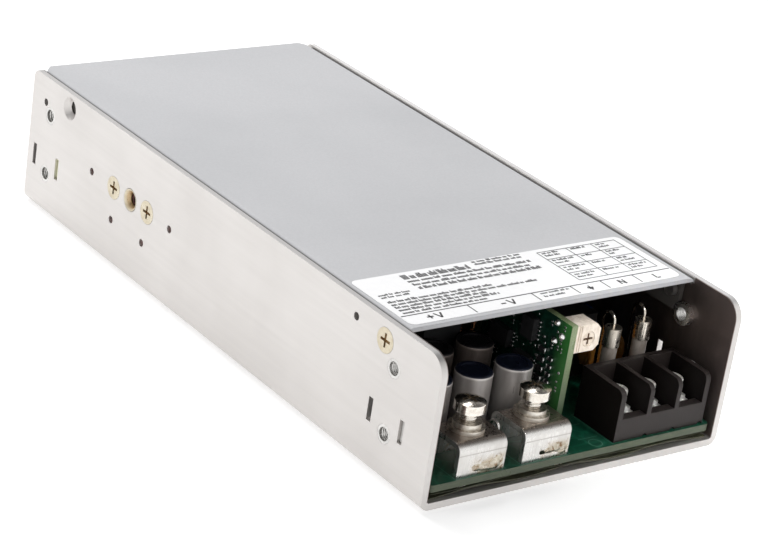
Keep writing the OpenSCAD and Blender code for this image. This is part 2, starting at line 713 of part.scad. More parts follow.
// Folded channel with the holes of its two walls
module wall_cuts(side) {
    for (p = mount_points) to_wall(side, p[0], p[1])
        translate([0, 0, -over]) cylinder(r = nut_shank_r + press_gap, h = chassis_t + 2 * over);
    for (y = concat(front_slots, [for (d = rear_slots) chassis_l - d]))
        to_wall(side, y, slot_z + slot_h / 2) cube([slot_h, slot_w, 3 * chassis_t], center = true);
    to_wall(side, cover_screw_y, cover_screw_z) csk_hole();
    to_wall(side, chassis_l - spare_csk_rear, chassis_h - spare_csk_drop) csk_hole();
    pilot_hole(side, cover_pilot[0], chassis_h - cover_pilot[1]);
    pilot_hole(side, chassis_l - rear_pilot[0], chassis_h - rear_pilot[1]);
}
module pilot_hole(side, y, z) to_wall(side, y, z)
    translate([0, 0, -over]) cylinder(r = pilot_r, h = chassis_t + 2 * over);
module chassis() color("gainsboro") place() difference() {
    intersection() {
        along_y(0, chassis_l) difference() {
            channel_2d(chassis_w, chassis_h, bend_r);
            translate([0, chassis_t]) channel_2d(2 * inner, chassis_h, bend_r - chassis_t);
        }
        along_x(chassis_w + 2 * over) {
            square([chassis_l, chassis_h - front_corner_r]);
            translate([front_corner_r, 0]) square([chassis_l - front_corner_r - rear_corner_r, chassis_h]);
            translate([front_corner_r, chassis_h - front_corner_r]) circle(front_corner_r);
            translate([chassis_l / 2, 0]) square([chassis_l / 2, chassis_h - rear_corner_r]);
            translate([chassis_l - rear_corner_r, chassis_h - rear_corner_r]) circle(rear_corner_r);
        }
    }
    for (side = [-1, 1]) wall_cuts(side);
    for (y = concat(clamp_screw_y, [clamp_y])) to_wall(-1, y, clamp_z) csk_hole();
    for (p = wall_pilots) pilot_hole(-1, p[0], p[1]);
}

// Cover: top sheet, two side flanges inside the walls and a rear panel with clipped corners
module cover_sheet() {
    along_y(cover_front, overall_l - cover_bend_r) difference() {
        translate([0, chassis_h]) mirror([0, 1]) channel_2d(2 * cover_half, cover_flange_h, cover_bend_r);
        translate([0, cover_under]) mirror([0, 1])
            channel_2d(2 * (cover_half - cover_t), cover_flange_h, cover_bend_r - cover_t);
    }
    along_x(2 * cover_half) translate([overall_l / 2, 0]) rotate(90) mirror([0, 1]) difference() {
        cover_corner_2d(cover_bend_r, 0);
        cover_corner_2d(cover_bend_r - cover_t, cover_t);
    }
}
// Rear upper corner of the cover in side view, inset by d: first axis up, second axis to the rear
module cover_corner_2d(r, d) {
    top = chassis_h - d;
    rear = overall_l / 2 - d;
    start = rear - rear_bend_reach;
    translate([rear_panel_z - d, start]) square([top - r - rear_panel_z + d, rear - start]);
    translate([rear_panel_z - d, start]) square([top - rear_panel_z + d, rear - r - start]);
    translate([top - r, rear - r]) circle(r);
}
module top_cover() color("silver") place() difference() {
    intersection() {
        cover_sheet();
        translate([-chassis_w / 2, cover_front, 0]) cube([chassis_w, overall_l, chassis_h]);
    }
    flange_end = overall_l - cover_flange_rear;
    for (side = [-1, 1]) {
        translate([side * cover_half - cover_bend_r, 0, 0])
            cube([2 * cover_bend_r, cover_flange_front, chassis_h - cover_bend_r]);
        translate([side * cover_half - cover_bend_r, flange_end, chassis_h - cover_flange_h - over])
            cube([2 * cover_bend_r, chassis_l - flange_end, cover_flange_h + over - cover_bend_r]);
        translate([side * cover_half, overall_l, chassis_h - clip_y]) linear_extrude(clip_y + over)
            polygon([[-side * clip_x, 0], [side * over, -clip_y - over * clip_y / clip_x],
                [side * over, over], [-side * clip_x, over]]);
        to_wall(side, cover_screw_y, cover_screw_z)
            cylinder(r = csk_hole_r, h = chassis_t + cover_gap + 2 * cover_t);
        for (p = mount_points) to_wall(side, p[0], p[1])
            cylinder(r = nut_flange_r + 2 * cover_gap, h = chassis_t + nut_flange_h + over);
    }
}
module cover_screws() color("khaki") place() for (side = [-1, 1])
    to_wall(side, cover_screw_y, cover_screw_z) csk_screw(chassis_t + cover_gap + cover_t + 2 * screw_end);

// Clinch nuts pressed into the walls from inside
module clinch_nuts() color("lightgray") place() for (side = [-1, 1], p = mount_points)
    to_wall(side, p[0], p[1]) difference() {
        union() {
            translate([0, 0, press_gap]) cylinder(r = nut_shank_r, h = chassis_t);
            translate([0, 0, chassis_t]) cylinder(r = nut_flange_r, h = nut_flange_h);
        }
        translate([0, 0, -over]) cylinder(r = nut_thread_r, h = chassis_t + nut_flange_h + 2 * over);
    }

// Insulating film, a shallow wave across the chassis floor
function film_z(x) = film_wave * (1 - cos(film_waves * 180 * (x / film_half + 1))) / 2;
module insulating_sheet() color("darkslategray") place() difference() {
    along_y(film_front, board_end) translate([0, chassis_t])
        polygon(concat([for (x = film_xs) [x, film_z(x)]],
            [for (i = [film_steps : -1 : 0]) [film_xs[i], film_z(film_xs[i]) + film_t]]));
    for (p = standoff_points) translate([p[0], p[1], board_z / 2])
        cube([film_hole, film_hole, 2 * board_z], center = true);
}

// Main board on its standoffs
module board_standoffs() color("silver") place() for (p = standoff_points)
    translate([p[0], p[1], chassis_t]) difference() {
        cylinder(r = standoff_r, h = board_rise);
        cylinder(r = board_screw_r + screw_gap, h = board_rise + over);
    }
module main_board() color("darkgreen") place() difference() {
    translate([0, (board_front + board_end) / 2, board_z])
        rounded_box(2 * (inner - board_gap), board_end - board_front, board_t, board_corner_r);
    for (p = board_leads) translate([p[0], p[1], 0]) cylinder(r = p[2] + lead_gap, h = chassis_h, $fn = 24);
    for (p = standoff_points) translate([p[0], p[1], 0]) cylinder(r = board_hole_r, h = chassis_h);
    for (x = bracket_x) bracket_tabs(x, lead_gap);
    for (x = bay_x) input_pin(x, lead_gap);
}
module board_screws() color("silver") place() for (p = standoff_points)
    translate([p[0], p[1], board_top])
        domed_screw(standoff_r, board_head_h, board_screw_r, board_t + board_rise);

// Output terminals: folded brackets, screws, washers and nuts
module bracket_tabs(x, gap) for (s = [-1, 1], y = [bracket_front, bracket_rear - bracket_t])
    translate([x + s * tab_offset - tab_w / 2 - gap, y - gap, lead_end])
        cube([tab_w + 2 * gap, bracket_t + 2 * gap, board_top + bracket_t - lead_end]);
module bracket(x) {
    slot_end_r = bracket_slot_h / 2 - press_gap;
    difference() {
        translate([x, 0, board_top]) along_x(bracket_w) translate([bracket_front + bracket_d / 2, 0])
            difference() {
                translate([0, bracket_h]) mirror([0, 1]) channel_2d(bracket_d, bracket_h, bracket_bend_r);
                translate([0, bracket_h - bracket_t]) mirror([0, 1])
                    channel_2d(bracket_d - 2 * bracket_t, bracket_h, bracket_bend_r - bracket_t);
            }
        translate([x, terminal_y, 0]) cylinder(r = terminal_hole_r, h = chassis_h);
        translate([x, bracket_front, board_top + bracket_slot_z + bracket_slot_h / 2]) rotate([90, 0, 0])
            translate([0, 0, -bracket_t - over])
                rounded_box(bracket_slot_l, bracket_slot_h, bracket_t + 2 * over, slot_end_r);
    }
    bracket_tabs(x, 0);
}
module positive_terminal() color("lightsteelblue") place() bracket(bracket_x[0]);
module negative_terminal() color("lightsteelblue") place() bracket(bracket_x[1]);
module terminal_screws() color("silver") place() for (x = bracket_x)
    translate([x, terminal_y, head_z])
        domed_screw(terminal_head_r, terminal_head_h, terminal_thread_r, head_z - terminal_tip);
module flat_washers() color("silver") place() for (x = bracket_x)
    translate([x, terminal_y, bracket_top]) difference() {
        cylinder(r = flat_washer_r, h = flat_washer_t);
        translate([0, 0, -over]) cylinder(r = terminal_hole_r, h = flat_washer_t + 2 * over);
    }
module spring_washers() color("silver") place() for (x = bracket_x)
    translate([x, terminal_y, bracket_top + flat_washer_t]) difference() {
        cylinder(r = spring_washer_r, h = spring_washer_t);
        translate([0, 0, -over]) cylinder(r = terminal_hole_r, h = spring_washer_t + 2 * over);
        rotate(split_turn) translate([0, -split_w / 2, -over]) rotate([split_lean, 0, 0])
            cube([spring_washer_r + over, split_w, 2 * spring_washer_t + 2 * over]);
    }
module terminal_nuts() color("silver") place() for (x = bracket_x)
    translate([x, terminal_y, bracket_top - bracket_t - terminal_nut_t]) difference() {
        translate([-terminal_nut_w / 2, -terminal_nut_w / 2, 0])
            cube([terminal_nut_w, terminal_nut_w, terminal_nut_t]);
        translate([0, 0, -over]) cylinder(r = terminal_thread_r + screw_gap, h = terminal_nut_t + 2 * over);
    }

// Bare wire link between the two brackets
module wire_link() color("silver") place() {
    crown = bracket_top - link_drop - link_span / 2;
    leads(link_leads, crown);
    translate([link_x, link_y, crown]) rotate([90, 0, 90])
        rotate_extrude(angle = 180) translate([link_span / 2, 0]) circle(lead_r);
}

// Input barrier block: moulded floor, rear wall and rounded dividers
module divider_2d() {
    front_z = board_top + divider_front_h;
    rear_z = board_top + divider_rear_h;
    polygon([[block_front, board_top], [block_front, front_z - divider_corner_r],
        [block_front + divider_corner_r, front_z], [block_back, rear_z], [block_back, board_top]]);
    translate([block_front + divider_corner_r, front_z - divider_corner_r]) circle(divider_corner_r);
}
module input_pin(x, gap)
    translate([x - pin_w / 2 - gap, pin_y - input_plate_t - gap, lead_end])
        cube([pin_w + 2 * gap, input_plate_t + 2 * gap, bay_floor + input_plate_t - lead_end]);
module input_block() color("dimgray") place() difference() {
    union() {
        translate([block_left, block_front, board_top]) cube([block_w, block_d, block_floor]);
        translate([block_left, block_front, board_top]) cube([block_w, block_lip_t, block_lip_h]);
        translate([block_left, block_back - block_rear_t, board_top])
            cube([block_w, block_rear_t, divider_rear_h]);
        for (x = [block_left + block_end_t / 2, block_right - block_end_t / 2])
            translate([x, 0, 0]) along_x(block_end_t) divider_2d();
        for (i = [1 : block_bays - 1]) translate([bay_x[i] - block_pitch / 2, 0, 0])
            along_x(divider_t) divider_2d();
    }
    for (x = bay_x) {
        input_pin(x, lead_gap);
        translate([x, input_screw_y, board_top + over])
            cylinder(r = input_thread_r + seat_gap, h = block_floor);
        translate([x + block_pitch / 2, block_front, board_top]) rotate([90, 0, 0])
            cylinder(r = notch_r, h = 2 * notch_r, center = true);
    }
}
module input_terminals() color("lightsteelblue") place() for (x = bay_x) {
    difference() {
        translate([x - plate_w / 2, plate_front, bay_floor]) cube([plate_w, plate_l, input_plate_t]);
        translate([x, input_screw_y, bay_floor - over])
            cylinder(r = input_thread_r + screw_gap, h = 2 * over + input_plate_t);
    }
    input_pin(x, 0);
}
module input_clamps() color("silver") place() for (x = bay_x)
    translate([x, input_screw_y, bay_floor + input_plate_t]) difference() {
        rounded_box(plate_w - 2 * clamp_margin, 2 * (input_head_r + clamp_margin), input_plate_t, cap_rim);
        translate([0, 0, -over]) cylinder(r = input_thread_r + seat_gap, h = 2 * over + input_plate_t);
    }
module input_screws() color("silver") place() for (x = bay_x)
    translate([x, input_screw_y, bay_floor + 2 * input_plate_t + input_lift])
        domed_screw(input_head_r, input_head_h, input_thread_r, input_screw_l);

// Output capacitors
module output_capacitor(i) color("slategray") place() {
    translate([cap_points[i][0], cap_points[i][1], board_top]) can(cap_d, cap_h, cap_rim);
    leads([cap_leads[2 * i], cap_leads[2 * i + 1]], board_top + over);
}
module output_capacitor_1() output_capacitor(0);
module output_capacitor_2() output_capacitor(1);
module output_capacitor_3() output_capacitor(2);
module output_capacitor_4() output_capacitor(3);
module output_capacitor_5() output_capacitor(4);
module output_capacitor_6() output_capacitor(5);

// Upright control board with its chips, pins and trimmer
module control_board() color("seagreen") place() difference() {
    translate([control_x, control_front, board_top]) cube([control_t, control_l, control_top - board_top]);
    for (p = trimmer_pins) translate([control_x - over, p[0], p[1]]) rotate([0, 90, 0])
        cylinder(r = control_pin_r + lead_gap, h = control_t + 2 * over);
    for (y = control_pin_y) translate([control_x - over, y, control_pin_z]) rotate([0, 90, 0])
        cylinder(r = control_pin_r + lead_gap, h = control_t + 2 * over);
}
module control_chips() color("dimgray") place() for (k = [0 : len(chip_at) - 1], i = [0 : chip_count[k] - 1]) {
    at = chip_at[k] + i * chip_step[k];
    size = chip_size[k];
    translate([control_x - size[2], control_front + at[0], board_top + at[1]])
        cube([size[2], size[0], size[1]]);
}
module control_pins() color("gold") place() for (y = control_pin_y) {
    lead([control_pin_x, y, control_pin_r], control_pin_z);
    translate([control_pin_x, y, control_pin_z]) {
        sphere(control_pin_r);
        rotate([0, 90, 0]) cylinder(r = control_pin_r, h = control_right + control_pin_tail - control_pin_x);
    }
}
module trimmer_body() color("wheat") place() {
    difference() {
        translate([control_right, 0, trimmer_z]) along_y(control_front, control_front + trimmer_d)
            polygon([[0, 0], [trimmer_w - trimmer_bevel, 0], [trimmer_w, trimmer_bevel],
                [trimmer_w, trimmer_h - trimmer_bevel], [trimmer_w - trimmer_bevel, trimmer_h],
                [0, trimmer_h]]);
        translate([rotor_x, control_front - over, rotor_z]) rotate([-90, 0, 0])
            cylinder(r = rotor_r + rotor_gap, h = rotor_d + over + rotor_gap);
        for (i = [1, 2]) translate([control_right + trimmer_groove_pitch * i, control_front - over,
            trimmer_z - over]) cube([trimmer_groove, over + trimmer_groove, trimmer_h + 2 * over]);
    }
    for (p = trimmer_pins) translate([control_x - trimmer_pin_tail, p[0], p[1]]) rotate([0, 90, 0])
        cylinder(r = control_pin_r, h = control_t + over);
}
module trimmer_rotor() color("burlywood") place() translate([rotor_x, control_front + 2 * rotor_gap, rotor_z])
    rotate([-90, 0, 0]) difference() {
        cylinder(r = rotor_r, h = rotor_d - 2 * rotor_gap);
        mirror([0, 0, 1]) cross_recess(1.5 * rotor_r, rotor_d / 3);
    }

// Upright fuses with metal caps and bent leads
module fuse_tube(i) color("ivory") place() translate([fuse_x[i], fuse_y[i], fuse_z + fuse_cap_t])
    cylinder(r = fuse_r, h = fuse_h - 2 * fuse_cap_t);
module line_fuse() fuse_tube(0);
module neutral_fuse() fuse_tube(1);
module fuse_caps() color("silver") place() for (i = [0, 1]) {
    difference() {
        translate([fuse_x[i], fuse_y[i], fuse_z]) {
            cylinder(r = fuse_cap_r, h = fuse_cap_l);
            translate([0, 0, fuse_h - fuse_cap_l]) cylinder(r = fuse_cap_r, h = fuse_cap_l);
        }
        translate([fuse_x[i], fuse_y[i], fuse_z + fuse_cap_t])
            cylinder(r = fuse_r + press_gap, h = fuse_h - 2 * fuse_cap_t);
    }
    lead(fuse_leads[2 * i], fuse_z + fuse_cap_t);
    translate([fuse_x[i], fuse_y[i], fuse_top - fuse_cap_t])
        cylinder(r = lead_r, h = fuse_lead_rise + fuse_cap_t);
    translate([fuse_x[i], fuse_y[i] + fuse_lead_span / 2, fuse_top + fuse_lead_rise]) rotate([90, 0, 90])
        rotate_extrude(angle = 180) translate([fuse_lead_span / 2, 0]) circle(lead_r);
    lead(fuse_leads[2 * i + 1], fuse_top + fuse_lead_rise);
}

// Dipped disc standing on two leads; the disc faces along Y, or along X when turned
module dipped_disc(d, t) rotate([90, 0, 0]) {
    intersection() {
        cylinder(r = d / 2, h = t, center = true);
        sphere(sqrt(d * d / 4 + t * t / 16));
    }
}
module varistor() color("peru") place() {
    translate([varistor_x, varistor_y, varistor_z]) dipped_disc(varistor_d, varistor_t);
    leads(varistor_leads, varistor_z);
}
module thermistor() color("darkolivegreen") place() {
    z = board_top + disc_rise + thermistor_d / 2;
    translate([thermistor_x, thermistor_y, z]) rotate(90) dipped_disc(thermistor_d, thermistor_t);
    leads(thermistor_leads, z);
}
module disc_capacitors() color("steelblue") place() for (i = [0, 1]) {
    z = board_top + disc_rise + disc_d / 2;
    translate([disc_points[i][0], disc_points[i][1], z]) rotate(90) dipped_disc(disc_d, disc_t);
    leads([disc_leads[2 * i], disc_leads[2 * i + 1]], z);
}

// Boxed line capacitors and the inrush relay
module line_capacitor(i) color("gold") place() {
    translate([line_cap_x[i], line_cap_y[i], board_top]) rounded_box(line_cap_w, line_cap_d, line_cap_h, box_r);
    leads([line_cap_leads[2 * i], line_cap_leads[2 * i + 1]], board_top + over);
}
module line_capacitor_1() line_capacitor(0);
module line_capacitor_2() line_capacitor(1);
module relay() color("black") place() {
    translate([relay_x, relay_y, board_top]) rounded_box(relay_w, relay_d, relay_h, box_r);
    leads(relay_leads, board_top + over);
}

// Ring cores with their turns of wire
module turns(ring, turn_r, wire_r, from, to, count) for (i = [0 : count - 1])
    rotate(from + (to - from) * i / (count - 1)) translate([ring, 0, 0]) rotate([90, 0, 0])
        torus(turn_r, wire_r);
module filter_core() color("darkslategray") place()
    translate([filter_x, filter_y, filter_z]) torus(filter_ring_r, filter_core_r);
module filter_winding() color("orangered") place() {
    translate([filter_x, filter_y, filter_z]) for (a = [0, 180])
        turns(filter_ring_r, filter_turn_r, filter_wire_r, a - filter_arc, a + filter_arc, filter_turns);
    leads(filter_leads, filter_z);
}
module output_choke_core() color("darkkhaki") place()
    translate([output_choke_x, output_choke_y, output_choke_z]) torus(output_ring_r, output_core_r);
module output_choke_winding() color("orangered") place() {
    translate([output_choke_x, output_choke_y, output_choke_z])
        turns(output_ring_r, output_turn_r, output_wire_r, -output_arc, output_arc, output_turns);
    leads(output_choke_leads, output_choke_z);
}

// Ferrite pair: two E-shaped halves that meet in the middle, lying flat
module e_pair(w, half_l, t) for (s = [-1, 1]) mirror([0, s > 0 ? 1 : 0, 0]) translate([0, 0, -t / 2])
    difference() {
        translate([-w / 2, -half_l, 0]) cube([w, half_l - press_gap, t]);
        window_w = w / 2 - core_leg - core_mid / 2;
        for (side = [-1, 1])
            translate([side * (core_mid + window_w) / 2, -half_l / 2 + core_leg, t / 2])
                cube([window_w, half_l, 2 * t], center = true);
    }
// Bobbin: tube round the middle leg, two cheeks and two pin rails
module bobbin(w, half_l, t) {
    tube_w = core_mid + 2 * fit_gap;
    tube_h = t + 2 * fit_gap;
    cheek_w = w - 2 * core_leg - 2 * fit_gap;
    window = half_l - core_leg - fit_gap;
    rail_h = core_z - t / 2 - fit_gap - board_top;
    difference() {
        union() {
            cube([tube_w + 2 * bobbin_t, 2 * window, tube_h + 2 * bobbin_t], center = true);
            for (s = [-1, 1]) translate([0, s * (window - bobbin_t / 2), 0])
                cube([cheek_w, bobbin_t, wind_h], center = true);
        }
        cube([tube_w, 2 * half_l, tube_h], center = true);
    }
    rail_y = window + (core_leg - bobbin_t) / 2;
    for (s = [-1, 1]) translate([0, s * rail_y, board_top - core_z + rail_h / 2])
        cube([w - 2 * core_leg, core_leg + bobbin_t, rail_h], center = true);
}
module winding(w, half_l, t) {
    window = half_l - core_leg - fit_gap - bobbin_t - fit_gap;
    along_y(-window, window) difference() {
        rounded_2d(w - 2 * core_leg - 4 * fit_gap, wind_h - 4 * fit_gap, wind_r);
        square([core_mid + 4 * fit_gap + 2 * bobbin_t, t + 4 * fit_gap + 2 * bobbin_t], center = true);
    }
}
module transformer_core() color("dimgray") place() translate([transformer_x, transformer_y, core_z])
    e_pair(transformer_w, transformer_half_l, transformer_core_t);
module transformer_bobbin() color("black") place() {
    translate([transformer_x, transformer_y, core_z])
        bobbin(transformer_w, transformer_half_l, transformer_core_t);
    leads(transformer_leads, board_top + over);
}
module transformer_winding() color("gold") place() translate([transformer_x, transformer_y, core_z])
    winding(transformer_w, transformer_half_l, transformer_core_t);
module choke_core() color("dimgray") place() translate([choke_x, choke_y, core_z])
    e_pair(choke_w, choke_half_l, choke_core_t);
module choke_bobbin() color("black") place() {
    translate([choke_x, choke_y, core_z]) bobbin(choke_w, choke_half_l, choke_core_t);
    leads(storage_leads, board_top + over);
}
module choke_winding() color("yellow") place() translate([choke_x, choke_y, core_z])
    winding(choke_w, choke_half_l, choke_core_t);

// Bulk capacitors
module bulk_capacitor(i) color("black") place() {
    translate([bulk_points[i][0], bulk_points[i][1], board_top]) can(bulk_d, bulk_h, bulk_rim);
    leads([bulk_leads[2 * i], bulk_leads[2 * i + 1]], board_top + over);
}
module bulk_capacitor_1() bulk_capacitor(0);
module bulk_capacitor_2() bulk_capacitor(1);

// Flat power package: its back lies on y = 0, the body stands towards -y
module power_package() translate([0, -transistor_t, 0]) along_x(transistor_w)
    polygon([[0, 0], [transistor_t, 0], [transistor_t, transistor_h],
        [package_bevel[0], transistor_h], [0, transistor_h - package_bevel[1]]]);
module power_transistors() color("dimgray") place() {
    for (y = transistor_y) translate([transistor_back, y, transistor_z]) rotate(90) power_package();
    leads(transistor_leads, transistor_z + over);
}
module thermal_pad() color("lightpink") place() difference() {
    translate([-inner, clamp_y - clamp_l / 2, transistor_z]) cube([pad_t, clamp_l, transistor_h]);
    for (y = concat(clamp_screw_y, [clamp_y])) to_wall(-1, y, clamp_z)
        cylinder(r = csk_hole_r + seat_gap, h = chassis_t + pad_t + over);
}
module clamp_bar() color("silver") place() difference() {
    translate([transistor_back + transistor_t, clamp_y - clamp_l / 2, clamp_z - clamp_h / 2])
        cube([clamp_t, clamp_l, clamp_h]);
    for (y = clamp_screw_y) to_wall(-1, y, clamp_z)
        cylinder(r = csk_hole_r, h = chassis_t + pad_t + transistor_t + clamp_t + over);
}
module clamp_screws() color("khaki") place() for (y = clamp_screw_y) to_wall(-1, y, clamp_z)
    csk_screw(chassis_t + pad_t + transistor_t + clamp_t + screw_end);

// Finned heatsinks with the parts that stand against them
module comb_sink(w, fins) {
    translate([-w / 2, 0, 0]) cube([w, sink_t, sink_h]);
    for (i = [0 : fins - 1]) translate([-w / 2 + i * (w - sink_fin_t) / (fins - 1), 0, 0])
        cube([sink_fin_t, sink_t + sink_fin_l, sink_h]);
}
module rectifier_heatsink() color("darkgray") place() translate([sink_x, sink_y, board_top])
    comb_sink(sink_w, sink_fins);
module rectifiers() color("dimgray") place() {
    for (x = rectifier_x) translate([x, sink_y, transistor_z]) power_package();
    leads(rectifier_leads, transistor_z + over);
}
module bridge_heatsink() color("darkgray") place() translate([bridge_x, bridge_y, board_top])
    comb_sink(bridge_sink_w, bridge_fins);
module bridge_rectifier() color("black") place() {
    translate([bridge_x, bridge_y - bridge_d / 2, transistor_z])
        rounded_box(bridge_w, bridge_d, bridge_h, box_r);
    leads(bridge_leads, transistor_z + over);
}

chassis();
top_cover();
cover_screws();
clinch_nuts();
insulating_sheet();
board_standoffs();
main_board();
board_screws();
positive_terminal();
negative_terminal();
terminal_screws();
spring_washers();
flat_washers();
terminal_nuts();
wire_link();
input_block();
input_terminals();
input_clamps();
input_screws();
output_capacitor_1();
output_capacitor_2();
output_capacitor_3();
output_capacitor_4();
output_capacitor_5();
output_capacitor_6();
control_board();
control_chips();
control_pins();
trimmer_body();
trimmer_rotor();
line_fuse();
neutral_fuse();
fuse_caps();
varistor();
line_capacitor_1();
line_capacitor_2();
disc_capacitors();
filter_core();
filter_winding();
relay();
thermistor();
bridge_rectifier();
bridge_heatsink();
bulk_capacitor_1();
bulk_capacitor_2();
transformer_core();
transformer_bobbin();
transformer_winding();
choke_core();
choke_bobbin();
choke_winding();
power_transistors();
thermal_pad();
clamp_bar();
clamp_screws();
output_choke_core();
output_choke_winding();
rectifier_heatsink();
rectifiers();
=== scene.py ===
"""Looks of an enclosed switching power supply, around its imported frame.

Finishes for every node, a ruled label, solder, threads, small board details and a plain studio.
Lengths are in millimetres, in the frame of the part; the studio and the camera are in metres.
"""

import math
import random

import bmesh
import bpy
from mathutils import Matrix, Vector, noise


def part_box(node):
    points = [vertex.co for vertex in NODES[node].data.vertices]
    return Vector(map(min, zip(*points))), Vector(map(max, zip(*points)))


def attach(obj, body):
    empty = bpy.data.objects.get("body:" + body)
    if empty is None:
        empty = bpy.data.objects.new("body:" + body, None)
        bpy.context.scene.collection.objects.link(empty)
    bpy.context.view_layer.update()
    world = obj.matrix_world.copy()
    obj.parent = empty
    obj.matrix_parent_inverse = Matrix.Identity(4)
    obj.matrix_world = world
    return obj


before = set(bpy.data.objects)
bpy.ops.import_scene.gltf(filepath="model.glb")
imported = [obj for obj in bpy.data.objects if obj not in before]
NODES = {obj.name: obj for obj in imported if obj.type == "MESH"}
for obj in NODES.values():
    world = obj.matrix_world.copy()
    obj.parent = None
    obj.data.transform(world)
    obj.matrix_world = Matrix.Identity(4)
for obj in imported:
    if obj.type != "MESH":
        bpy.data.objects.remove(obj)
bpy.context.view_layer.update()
BODY = "supply"
MM = 0.001

# Planes of the part that the looks are fitted to
WALL_FACE = 40.5
WALL_BACK = 39.0
COVER_TOP = 34.0
COVER_UNDER = 33.0
BOARD_TOP = 5.2
CONTROL_FACE = 1.4


# Finishes
def shade(colour, factor):
    """A colour made darker or lighter by a factor, held at white."""
    return tuple(min(1.0, factor * c) for c in colour)


class Finish:
    """One Principled material, with short calls for the textures that drive it."""

    def __init__(self, name, colour, rough, metal=0.0, **sockets):
        self.mat = bpy.data.materials.new(name)
        self.mat.use_nodes = True
        self.tree = self.mat.node_tree
        self.bsdf = next(n for n in self.tree.nodes if n.type == "BSDF_PRINCIPLED")
        self.put("Base Color", (*colour, 1.0))
        self.put("Roughness", rough)
        self.put("Metallic", metal)
        for key, value in sockets.items():
            self.put(key.replace("_", " ").title().replace("Ior", "IOR"), value)
        self.mat.diffuse_color = (*colour, 1.0)
        self.coord = self.tree.nodes.new("ShaderNodeTexCoord")
        self.normal = None

    def put(self, socket, value):
        self.bsdf.inputs[socket].default_value = value

    def link(self, value, socket):
        """Drives a socket by another one, or sets it to a number or a colour."""
        if isinstance(value, bpy.types.NodeSocket):
            self.tree.links.new(value, socket)
        elif isinstance(value, tuple):
            socket.default_value = (*value, 1.0)
        else:
            socket.default_value = value

    def texture(self, kind, size, stretch=None):
        """A texture node whose features are about size millimetres."""
        node = self.tree.nodes.new(kind)
        node.inputs["Scale"].default_value = 1 / (size * MM)
        at = self.coord.outputs["Object"]
        if stretch:
            mapping = self.tree.nodes.new("ShaderNodeMapping")
            mapping.inputs["Scale"].default_value = stretch
            self.tree.links.new(at, mapping.inputs["Vector"])
            at = mapping.outputs[0]
        self.tree.links.new(at, node.inputs["Vector"])
        return node

    def noise(self, size, detail=3.0, stretch=None, twist=0.0):
        node = self.texture("ShaderNodeTexNoise", size, stretch)
        node.inputs["Detail"].default_value = detail
        node.inputs["Roughness"].default_value = 0.55
        node.inputs["Distortion"].default_value = twist
        return node.outputs[0]

    def cells(self, size, feature="F1", metric="EUCLIDEAN", output="Distance"):
        node = self.texture("ShaderNodeTexVoronoi", size)
        node.feature = feature
        node.distance = metric
        return node.outputs[output]

    def waves(self, size, axis, twist):
        node = self.texture("ShaderNodeTexWave", 10 / math.pi * size)
        node.bands_direction = axis
        node.inputs["Distortion"].default_value = twist
        return node.outputs["Fac"]

    def axis(self, which, normal, mirrored):
        """One coordinate of the surface, or of its normal; mirrored drops the sign."""
        node = self.tree.nodes.new("ShaderNodeSeparateXYZ")
        source = self.coord.outputs["Normal" if normal else "Object"]
        self.tree.links.new(source, node.inputs[0])
        value = node.outputs["XYZ".index(which)]
        return self.math("ABSOLUTE", value) if mirrored else value

    def math(self, kind, a, b=0.0):
        node = self.tree.nodes.new("ShaderNodeMath")
        node.operation = kind
        self.link(a, node.inputs[0])
        self.link(b, node.inputs[1])
        return node.outputs[0]

    def both(self, first, *others):
        """The product of factors."""
        for factor in others:
            first = self.math("MULTIPLY", first, factor)
        return first

    def total(self, a, b, share=1.0):
        """a plus a share of b."""
        return self.math("ADD", a, b if share == 1.0 else self.both(b, share))

    def span(self, value, low, high, to_low=0.0, to_high=1.0):
        """Maps low..high onto to_low..to_high, held at the ends."""
        node = self.tree.nodes.new("ShaderNodeMapRange")
        ends = {"From Min": low, "From Max": high, "To Min": to_low, "To Max": to_high}
        for key, end in ends.items():
            node.inputs[key].default_value = end
        self.tree.links.new(value, node.inputs["Value"])
        return node.outputs[0]

    def zone(self, which, low, high, to_low=0.0, to_high=1.0, mirrored=False):
        """Spans a coordinate between two places in millimetres."""
        return self.span(self.axis(which, False, mirrored), low * MM, high * MM, to_low, to_high)

    def band(self, which, rise, top, end, fall):
        """A zone that rises between two places and falls between two more."""
        return self.both(self.zone(which, rise, top), self.zone(which, end, fall, 1, 0))

    def facing(self, which, low, high, to_low=0.0, to_high=1.0, mirrored=False):
        """Spans one part of the surface's normal."""
        return self.span(self.axis(which, True, mirrored), low, high, to_low, to_high)

    def mix(self, factor, a, b):
        node = self.tree.nodes.new("ShaderNodeMix")
        node.data_type = "RGBA"
        self.link(factor, node.inputs[0])
        self.link(a, node.inputs[6])
        self.link(b, node.inputs[7])
        return node.outputs[2]

    def tones(self, value, light, dark, low=0.35, high=0.7):
        """Two tones, mixed by a texture between two of its levels."""
        return self.mix(self.span(value, low, high), light, dark)

    def paint(self, colour):
        self.link(colour, self.bsdf.inputs["Base Color"])
        return self

    def polish(self, value, smooth, rough, low=0.3, high=0.7):
        """Roughness that follows a texture between two of its levels."""
        self.link(self.span(value, low, high, smooth, rough), self.bsdf.inputs["Roughness"])
        return self

    def soften(self, radius):
        """Rounds the shading of sharp edges by a radius in millimetres."""
        node = self.tree.nodes.new("ShaderNodeBevel")
        node.samples = 4
        node.inputs["Radius"].default_value = radius * MM
        return self.turn(node)

    def bump(self, height, depth, strength):
        """Relief of about depth millimetres."""
        node = self.tree.nodes.new("ShaderNodeBump")
        node.inputs["Strength"].default_value = strength
        node.inputs["Distance"].default_value = depth * MM
        self.tree.links.new(height, node.inputs["Height"])
        return self.turn(node)

